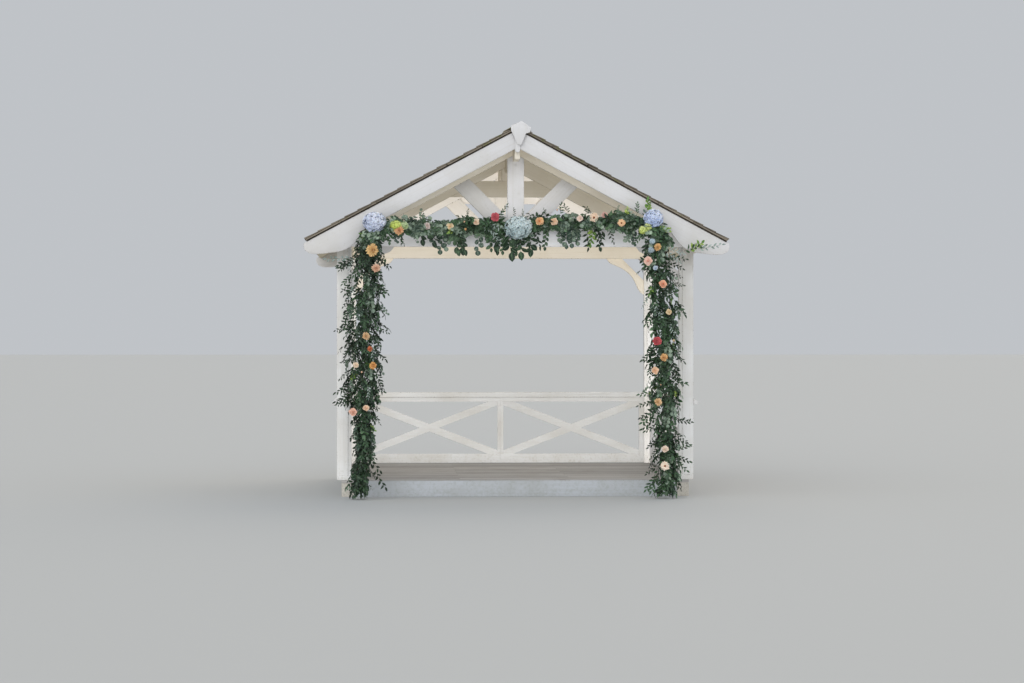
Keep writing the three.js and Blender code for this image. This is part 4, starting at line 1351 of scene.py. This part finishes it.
# Hanging strands and sprays that stand out in the picture: frame place of the start, length in mm,
# way it points (across and up) and kind.
strands = {
    "top": [
        (386, 234, 70, 0.2, -1, "salal"), (395, 230, 95, 0.1, -1, "eucalyptus"),
        (400, 235, 90, 0.3, -1, "fine"), (413, 231, 90, 0.3, -1, "eucalyptus"),
        (418, 230, 85, 0.2, -1, "salal"), (427, 231, 95, 0.4, -1, "eucalyptus"),
        (431, 231, 90, 0.3, -1, "salal"), (443, 230, 175, 0.02, -1, "coins"),
        (449, 230, 150, 0.0, -1, "coins"), (453, 230, 180, 0.15, -1, "trail"),
        (456, 230, 185, 0.3, -1, "trail"), (459, 234, 150, 0.2, -1, "trail"),
        (466, 228, 90, 0.0, -1, "fine"), (479, 230, 180, 0.0, -1, "coins"),
        (484, 228, 110, 0.2, -1, "coins"), (488, 230, 160, 0.1, -1, "trail"),
        (493, 230, 150, 0.15, -1, "trail"), (497, 234, 140, 0.0, -1, "trail"),
        (503, 236, 130, 0.1, -1, "trail"), (508, 238, 125, 0.05, -1, "salal"),
        (514, 239, 115, 0.05, -1, "trail"), (520, 239, 110, 0.1, -1, "salal"),
        (526, 238, 110, 0.1, -1, "trail"), (531, 236, 110, 0.1, -1, "salal"),
        (485, 222, 160, 1.0, -0.55, "silver"), (484, 226, 150, 1.0, -0.7, "silver"),
        (490, 229, 140, 1.0, -0.9, "silver"), (536, 232, 125, 0.0, -1, "fine"),
        (546, 232, 130, 0.05, -1, "trail"), (561, 230, 90, 0.1, -1, "eucalyptus"),
        (566, 231, 120, 0.1, -1, "eucalyptus"), (572, 229, 130, -0.1, -1, "eucalyptus"),
        (576, 230, 100, 0.1, -1, "eucalyptus"), (588, 230, 150, -0.1, -1, "lances"),
        (593, 232, 110, 0.0, -1, "fresh"), (597, 230, 150, 0.1, -1, "lances"),
        (602, 230, 150, 0.05, -1, "lances"), (609, 230, 110, 0.2, -1, "lances"),
        (628, 230, 90, 0.1, -1, "eucalyptus"), (633, 231, 110, 0.1, -1, "eucalyptus"),
        (422, 221, 85, 0.1, 1, "eucalyptus"), (466, 218, 70, 0.3, 0.8, "fine"),
        (500, 216, 110, 0.45, 0.8, "lances"), (514, 217, 70, 0.2, 1, "lances"),
        (523, 217, 60, 0.0, 1, "fine"), (546, 216, 65, -0.2, 1, "fine"), (560, 214, 80, 0.3, 0.9, "ruscus"),
        (568, 213, 70, -0.2, 1, "ruscus"), (587, 214, 55, 0.1, 1, "ruscus"), (616, 214, 65, 0.2, 1, "fine"),
        (627, 215, 60, 0.0, 1, "fresh"), (637, 214, 90, 0.1, 1, "fine"),
    ],
    "left": [
        (351, 258, 210, -1.0, -0.10, "silver"), (356, 259, 155, -1.0, -0.3, "fine"),
        (355, 262, 140, -0.9, -0.1, "fine"), (352, 262, 125, -0.8, -0.7, "fine"),
        (353, 274, 120, -0.7, -0.7, "fine"), (352, 282, 110, -0.7, -0.6, "lances"),
        (354, 258, 110, -0.5, -0.8, "silver"), (354, 286, 110, -0.3, -0.9, "silver"),
        (372, 345, 120, 0.2, -1, "silver"), (361, 300, 110, -0.1, -1, "coins"),
        (357, 366, 110, -0.2, -1, "coins"), (354, 365, 100, 0.1, -1, "ruscus"),
        (351, 368, 100, 0.1, -1, "ruscus"), (359, 362, 100, 0.1, -1, "ruscus"),
        (368, 385, 110, 0.1, -1, "silver"), (352, 294, 130, -0.5, -0.8, "fine"),
        (352, 304, 120, -0.5, -0.8, "fine"), (351, 312, 130, -0.7, -0.7, "fine"),
        (350, 318, 130, -0.8, -0.7, "fine"), (350, 325, 130, -0.9, -0.5, "fine"),
        (352, 345, 110, -0.6, -0.6, "lances"), (353, 360, 95, -0.9, -0.2, "lances"),
        (350, 370, 110, -0.6, -0.8, "fine"), (352, 384, 150, -0.9, -0.7, "fine"),
        (352, 391, 150, -0.9, -0.6, "fine"), (352, 397, 140, -0.9, -0.5, "fine"),
        (352, 402, 130, -0.9, -0.3, "fine"), (378, 258, 120, 0.6, -0.7, "lances"),
        (379, 282, 120, 0.5, -0.8, "lances"), (379, 304, 110, 0.6, -0.5, "coins"),
        (377, 326, 110, 0.7, -0.6, "lances"), (376, 350, 120, 0.6, -0.8, "fine"),
        (376, 372, 120, 0.6, -0.8, "fine"), (370, 384, 130, 0.8, -0.5, "lances"),
        (368, 404, 90, 0.8, -0.5, "lances"), (366, 426, 80, 0.7, -0.3, "fresh"),
        (367, 448, 110, 0.6, -0.6, "lances"), (367, 454, 180, 0.42, -0.9, "lances"),
        (375, 470, 170, 0.4, -0.9, "lances"), (361, 468, 120, 0.1, -1, "fine"),
        (366, 238, 60, -0.7, 0.5, "fresh"),
    ],
    "right": [
        (684, 251, 180, 0.9, 0.35, "fine"), (698, 249, 210, 1.0, 0.08, "silver"),
        (690, 251, 120, 0.8, 0.6, "fresh"), (668, 248, 140, 0.9, -0.2, "silver"),
        (668, 255, 160, 0.9, -0.35, "lances"), (670, 262, 120, 0.8, -0.6, "lances"),
        (666, 252, 150, 0.9, -0.6, "silver"), (652, 247, 90, -0.3, -1, "silver"),
        (657, 298, 130, 0.1, -1, "silver"), (660, 310, 130, 0.1, -1, "silver"),
        (648, 296, 110, -0.3, -1, "silver"), (669, 322, 110, 0.3, -1, "silver"),
        (670, 272, 110, 0.8, -0.4, "lances"), (672, 284, 95, 0.9, -0.1, "fine"),
        (673, 305, 85, 0.9, -0.1, "fine"), (656, 346, 150, -0.5, -0.9, "fine"),
        (655, 350, 140, -0.8, -0.6, "fine"), (654, 362, 110, -0.5, -0.9, "fine"),
        (656, 392, 140, -0.9, -0.4, "fine"), (655, 400, 150, -0.9, -0.5, "fine"),
        (657, 408, 160, -0.8, -0.6, "fine"), (657, 412, 160, -0.9, -0.5, "fine"),
        (657, 418, 150, -0.9, -0.4, "fine"), (659, 424, 130, -0.8, -0.5, "fine"),
        (676, 352, 110, 0.5, -0.8, "fine"), (676, 420, 125, 1.0, -0.2, "fine"),
        (674, 432, 140, 0.7, -0.7, "fine"), (674, 438, 140, 0.8, -0.5, "lances"),
        (676, 450, 120, 0.8, 0.2, "lances"), (674, 455, 140, 0.8, -0.4, "lances"),
        (674, 460, 140, 0.8, -0.6, "lances"), (659, 438, 120, -0.7, -0.5, "lances"),
        (658, 448, 110, -0.6, -0.8, "fine"), (657, 456, 110, -0.5, -0.9, "fine"),
        (657, 466, 110, -0.7, -0.6, "lances"), (659, 474, 160, -0.4, -0.9, "fine"),
        (657, 476, 150, -0.6, -0.8, "fine"), (661, 478, 140, -0.2, -1, "fine"),
        (647, 211, 95, 0.12, 1, "fresh"), (658, 225, 75, 0.9, -0.7, "fresh"),
        (660, 228, 75, 0.9, -0.35, "fresh"), (656, 231, 75, 0.9, -0.6, "fresh"),
        (661, 231, 70, 0.8, 0.3, "fresh"), (650, 210, 70, -0.1, 1, "fresh"),
    ],
}


def setStrands(bm, rng, name):
    off = garland["strandsOff"]
    before, behind = garland["strandWall"]
    wayStray, facingStray = garland["strandStray"]
    for px, py, length, across, up, kind in strands[name]:
        onBeam = abs(seenAt(px, py, beamFace).x) < garland["onBeam"]["strands"]
        planeY = beamFace - off["beam"] if onBeam else bargeFace - off["gable"]
        planeY -= off["silver"] if kind == "silver" else 0.0
        tucked = garland["tucked"] if onBeam and up < garland["straight"] else 0
        place = seenAt(px, py - tucked, planeY)
        size = (length * mm + tucked / camera["gableScale"]) / sprigKinds[kind][2]
        wall = bargeFace + (before if place.z > garland["bargeFoot"] else behind)
        if onBeam:
            wall = beamFace + before
        # strands that hang down, other than silver ones, are darkened: painted shade
        tone = garland["hangingPaintedShade"] if up < 0 and kind != "silver" else 0.0
        way = Vector((across, 0, up)) + scatter(rng, wayStray)
        facing = Vector((0, -1, 0)) + scatter(rng, facingStray)
        setSprig(bm, rng, kind, place, way, size, wall, facing, tone)


def makeGarland():
    for name, count in garland["sprigs"].items():
        rng = random.Random(garland["seeds"][name])
        line = runLine() if name == "top" else legLine(name)
        bm = bmesh.new()
        if name == "top":
            growRun(bm, rng, line, count)
        else:
            growLeg(bm, rng, line, count, garland["legPaintedShade"][name])
        setStrands(bm, rng, name)
        core = bmesh.new()
        twistVine(core, rng, line)
        mergeInto(bm, core)
        addPiece(toMesh(bm, "garland_greens_" + name, 60), leafFinishes, ["garland_" + name])
        print("garland", name, "hung")


makeGarland()


# A petal's cup is how far its rim bends in, and its curl how far its tip bends out.
def petalMesh(length, width, rows, cup, curl):
    halfWidth = lambda t: math.sin(math.pi * min(1.0, 0.12 + 0.80 * t ** 0.9)) ** 0.6 if t < 1 else 0.42
    lift = lambda across, t: cup * across * across * t * (1.2 - t) + curl * t * t
    return bladeMesh("petal", length, width, rows, halfWidth, lift, 0)


# A plain ball with the same layers as a petal, to close a flower's middle.
def ballMesh(subdivisions, radius):
    bm = bmesh.new()
    bmesh.ops.create_icosphere(bm, subdivisions=subdivisions, radius=radius)
    bm.verts.layers.float.new("tone")
    bm.verts.layers.float.new("reach")
    bm.verts.layers.float_color.new("petalColour")
    bm.loops.layers.uv.new("leafMap")
    return toMesh(bm, "heart", 80)


# Blooms of unit radius made of rings of petals: count, lean in degrees, length, width, cup, curl and
# how far up the ring stands.
bloomKinds = {
    # an open garden rose
    "rose": [
        (4, 6, 0.50, 0.50, 0.5, -0.16, 0.22), (6, 20, 0.62, 0.62, 0.5, -0.12, 0.16),
        (7, 38, 0.78, 0.78, 0.45, -0.06, 0.10), (8, 56, 0.92, 0.90, 0.4, 0.02, 0.04),
        (8, 74, 1.02, 0.98, 0.3, 0.06, 0.0),
    ],
    # a full double bloom with many narrow petals
    "dahlia": [
        (7, 10, 0.45, 0.26, 0.5, -0.1, 0.36), (10, 26, 0.60, 0.28, 0.5, -0.04, 0.30),
        (14, 42, 0.74, 0.29, 0.45, 0.04, 0.22), (18, 60, 0.88, 0.30, 0.4, 0.08, 0.12),
        (22, 78, 1.0, 0.30, 0.3, 0.12, 0.0),
    ],
    # a daisy with an open face
    "daisy": [(14, 56, 0.80, 0.40, 0.25, 0.06, 0.02), (17, 74, 1.0, 0.42, 0.2, 0.08, 0.0)],
    # a small opening bud
    "bud": [(3, 6, 0.8, 0.6, 0.6, -0.15, 0.1), (5, 22, 0.95, 0.8, 0.5, 0.0, 0.0)],
}


# How petals stray within a ring, and the ball that closes a bloom's middle.
bloomLook = {
    "around": 0.12,          # radians
    "lean": 6,               # degrees
    "offMiddle": 0.03,
    "size": (0.90, 1.07),
    "tone": 0.1,
    "ball": (0.28, 0.34),    # radius and height
}
fullTurn = 6.3    # radians


def bloomMesh(kind, rng):
    look = bloomLook
    bm = bmesh.new()
    for count, lean, length, width, cup, curl, lift in bloomKinds[kind]:
        template = petalMesh(length, width, 4, cup, curl)
        turn = rng.uniform(0, fullTurn)
        for i in range(count):
            around = turn + 2 * math.pi * i / count + rng.uniform(-look["around"], look["around"])
            tilt = math.radians(lean + rng.uniform(-look["lean"], look["lean"]))
            stand = Matrix.Rotation(around, 4, "Z") @ Matrix.Translation((0, look["offMiddle"], lift))
            stand = stand @ Matrix.Rotation(math.pi / 2 - tilt, 4, "X")
            stand = stand @ Matrix.Scale(rng.uniform(*look["size"]), 4)
            addCopy(bm, template, stand, rng.uniform(-look["tone"], look["tone"]))
    radius, height = look["ball"]
    if kind != "daisy":
        addCopy(bm, ballMesh(2, radius), Matrix.Translation((0, 0, height)))
    return toMesh(bm, kind + "Bloom", 60)


bloomRng = random.Random(131)
blooms = {kind: [bloomMesh(kind, bloomRng) for _ in range(2)] for kind in bloomKinds}


# Each flower: frame place, width in frame pixels, kind, heart colour, rim colour.
flowers = {
    "top": [
        (399, 230, 10, "dahlia", "#e7a467", "#f4cea4"), (427, 226, 7, "rose", "#d9bdb0", "#efe3de"),
        (450, 226, 7.5, "rose", "#e5bb8a", "#f7e6c4"), (466, 229, 5.5, "bud", "#e1b168", "#f1d19d"),
        (476, 222, 7, "rose", "#e6c09e", "#f6e5cf"), (495, 217, 9, "rose", "#ae4450", "#d36d76"),
        (539.5, 221, 8.5, "rose", "#df9656", "#f7cfa2"), (554, 221.5, 7.5, "rose", "#e6bb96", "#f6dbbf"),
        (557, 210, 4, "bud", "#e1b168", "#f1c889"), (580, 218.5, 6.5, "rose", "#e4c5b3", "#f5e5d9"),
        (594, 217.5, 10, "daisy", "#eec4a5", "#f8e5d0"), (604.5, 215, 6.5, "rose", "#e0a89f", "#f2d0c5"),
        (621.5, 223, 8, "daisy", "#e4b280", "#f3d0a9"), (464, 222, 4, "bud", "#e8c3a1", "#f6e3ce"),
    ],
    "left": [
        (372.5, 250, 13, "dahlia", "#dba356", "#f3d8a4"), (376, 268, 9, "dahlia", "#dfa27c", "#f5d8c0"),
        (366, 336, 8, "dahlia", "#e1b77e", "#f1d6b1"), (370, 349, 5.5, "rose", "#b14c35", "#d37f57"),
        (356, 365, 6, "rose", "#e7caa8", "#f5e5d0"), (373, 365.5, 7.5, "dahlia", "#e1a45a", "#f1c685"),
        (362, 372.5, 4.5, "bud", "#e4c0a4", "#f4e0ce"), (366, 408, 6.5, "rose", "#e8b78f", "#f6dbc1"),
        (353, 412, 8, "rose", "#e1a287", "#f3cbb6"),
    ],
    "right": [
        (657.5, 247, 8, "dahlia", "#e7b665", "#f5d5a1"), (648, 261, 9, "rose", "#dd9380", "#f8dccd"),
        (655.5, 268, 5, "rose", "#a8bcd3", "#d2deea"), (663, 284, 8, "rose", "#d77558", "#f5c6a6"),
        (668, 295, 4, "bud", "#d8ddda", "#ebece7"), (669, 312, 6, "rose", "#dab98c", "#ecd9b5"),
        (674, 341, 6, "bud", "#d3ba97", "#eadbbc"), (657, 341, 9, "rose", "#a63f49", "#d16268"),
        (664, 357.5, 8, "dahlia", "#e1ac67", "#f1cd9a"), (655, 370.5, 7.5, "rose", "#e7b58e", "#f5d6b8"),
        (661, 385, 3.5, "bud", "#d3b08f", "#e8ceb1"), (658, 402, 8, "dahlia", "#e6b87c", "#f5dcb6"),
        (666, 431.5, 4.5, "bud", "#e6e7e2", "#f3f3ef"), (665, 449, 7, "rose", "#e4c6af", "#f3e4d5"),
        (665, 466, 9.5, "daisy", "#f2d5b8", "#f9ecde"),
    ],
}
flowerLook = {
    "depth": 0.205,           # metres that flowers stand before the beam or the gable
    "aside": (-0.3, 0.3),     # how far one looks past the camera, aside and up
    "up": (-0.1, 0.35),
    "sunk": 0.2,              # how far its foot is sunk in radii
    "size": 1.02,
    "eye": (0.25, 0.12),      # a daisy's eye in radii of the flower: radius and how far forward it is
    "eyeDepth": 0.55,
    "eyeUneven": (0.12, 4),   # height of its lumps in radii, and lumps to a radius
}


# The matrix that stands a thing made along z at a place, pointing along aim and rolled.
def aimed(place, aim, roll, size):
    turn = aim.to_track_quat("Z", "Y").to_matrix().to_4x4()
    return Matrix.Translation(place) @ turn @ Matrix.Rotation(roll, 4, "Z") @ Matrix.Scale(size, 4)


def flowerPlace(px, py, sink=0.0):
    onBeam = abs(seenAt(px, py, beamFace).x) < garland["onBeam"]["flowers"]
    return seenAt(px, py, (beamFace if onBeam else bargeFace) - flowerLook["depth"] + sink)


def makeFlowers():
    look = flowerLook
    rng = random.Random(149)
    eyes = bmesh.new()
    eyeDot = bmesh.new()
    bmesh.ops.create_icosphere(eyeDot, subdivisions=2, radius=1.0)
    uneven, lumps = look["eyeUneven"]
    for vert in eyeDot.verts:
        vert.co.z *= look["eyeDepth"]
        vert.co *= 1 + uneven * noise.noise(vert.co * lumps)
    eyeDot.verts.layers.float.new("tone")
    eyeMesh = toMesh(eyeDot, "eye", 60)
    eyeRadius, forward = look["eye"]
    for name, row in flowers.items():
        bm = bmesh.new()
        for px, py, wide, kind, heart, rim in row:
            place = flowerPlace(px, py)
            radius = wide / 2 / camera["gableScale"]
            turned = Vector((rng.uniform(*look["aside"]), 0, rng.uniform(*look["up"])))
            aim = (Vector(camera["place"]) - place).normalized() + turned
            colours = (linearColour(heart), linearColour(rim))
            base = place + aim.normalized() * -radius * look["sunk"]
            bloom = rng.choice(blooms[kind])
            stand = aimed(base, aim, rng.uniform(0, fullTurn), radius * look["size"])
            addCopy(bm, bloom, stand, 0.0, colours)
            if kind == "daisy":
                spot = base + aim.normalized() * radius * forward
                addCopy(eyes, eyeMesh, aimed(spot, aim, 0, radius * eyeRadius))
        addPiece(toMesh(bm, "flowers_" + name, 60), [petal])
    addPiece(toMesh(eyes, "daisy_eyes", 60), [seed])
    print("flowers set")


# Round flower heads of many four-petalled florets over a core. Each: frame place, width in pixels,
# flattening, florets, floret width in mm, heart colour, rim colour and how far back it sinks in metres.
heads = [
    (374.5, 222, 23, 0.83, 170, 36, "#b3c0dc", "#eff2fa", 0.04),
    (518.5, 227.5, 28, 0.80, 210, 37, "#a3b9bf", "#e0eaea", 0.05),
    (653.5, 218.5, 19, 0.90, 150, 33, "#9fb4e0", "#e8effa", 0.04),
    (396, 225.5, 12, 0.75, 90, 23, "#b4c64c", "#e0ec96", 0.02),
    (404, 225.5, 8, 0.85, 60, 22, "#9db680", "#cbdcb0", 0.02),
    (643, 230, 8, 0.9, 60, 21, "#bccd60", "#e8f0b0", 0.02),
    (648, 226.5, 7, 0.9, 50, 19, "#c3d26c", "#ecf3bb", 0.02),
    (652.3, 241.3, 5.5, 0.9, 50, 18, "#9fb3bd", "#c6d4dc", 0.0),
    (651, 250, 5.5, 1.0, 50, 18, "#96a9b2", "#bccbd3", 0.0),
]
headLook = {
    "spiral": 2.39996,     # radians from one floret to the next: the golden angle, so that no rows form
    "covered": 1.55,       # how far back from the front florets reach, in radii
    "depth": 0.9,          # depth as a share of the width
    "core": 0.84,          # the core's share of the radius
    # the core is darker than the florets' hearts: painted shade in the gaps between the florets
    "coreShade": 0.74,     # how light the core is beside the florets' hearts
    "petal": (0.5, 0.52, 2, 0.2, 0.12),
    "petalLean": 14,       # degrees
    "stray": 0.06,         # how far florets stray from the spiral, and how far they lean aside
    "lean": 0.4,
    "radius": (0.84, 1.0),
    "size": (0.85, 1.1),
    # the heart colour's share in a floret's rim: usual, how far it strays, less where the floret is
    # turned up, and how much being turned to the right counts beside that: painted light and shade
    "heartShare": (0.3, 0.2, 0.45, 0.5),
}


def makeHeads():
    look = headLook
    usual, strays, paintedLightUp, aside = look["heartShare"]
    rng = random.Random(167)
    bm = bmesh.new()
    floret = bmesh.new()
    petalShape = petalMesh(*look["petal"])
    lean = Matrix.Rotation(math.radians(look["petalLean"]), 4, "X")
    for i in range(4):
        addCopy(floret, petalShape, Matrix.Rotation(i * math.pi / 2, 4, "Z") @ lean)
    floretMesh = toMesh(floret, "floret", 60)
    core = ballMesh(3, 1.0)
    depth = look["depth"]
    for px, py, wide, flat, count, size, heartHex, rimHex, sink in heads:
        radius = wide / 2 / camera["gableScale"]
        place = flowerPlace(px, py, sink)
        heart = linearColour(heartHex)
        rim = linearColour(rimHex)
        shade = (*[c * look["coreShade"] for c in heart[:3]], 1.0)
        squash = Matrix.Diagonal((1, depth, flat, 1))
        inside = Matrix.Translation(place) @ squash @ Matrix.Scale(radius * look["core"], 4)
        addCopy(bm, core, inside, 0.0, (shade, shade))
        for i in range(count):
            height = 1 - look["covered"] * (i + 0.5) / count
            spin = i * look["spiral"]
            ringRadius = math.sqrt(max(0.0, 1 - height * height))
            out = Vector((math.cos(spin) * ringRadius, -height, math.sin(spin) * ringRadius))
            out = (out + scatter(rng, look["stray"])).normalized()
            spot = Vector((out.x, out.y * depth, out.z * flat)) * radius * rng.uniform(*look["radius"])
            aim = (out + scatter(rng, look["lean"])).normalized()
            # painted light and shade: florets turned up and to the right are lighter, those below keep more
            # of the heart's darker colour
            mixed = rng.uniform(-strays, strays) + usual - paintedLightUp * (out.z + aside * out.x)
            tint = [min(1.0, max(0.0, c + mixed * (h - c))) for c, h in zip(rim, heart)]
            turn = rng.uniform(0, fullTurn)
            stand = aimed(place + spot, aim, turn, size * mm * rng.uniform(*look["size"]))
            addCopy(bm, floretMesh, stand, 0.0, (heart, tint))
    addPiece(toMesh(bm, "flower_heads", 60), [petal])
    print("flower heads set")


makeFlowers()
makeHeads()
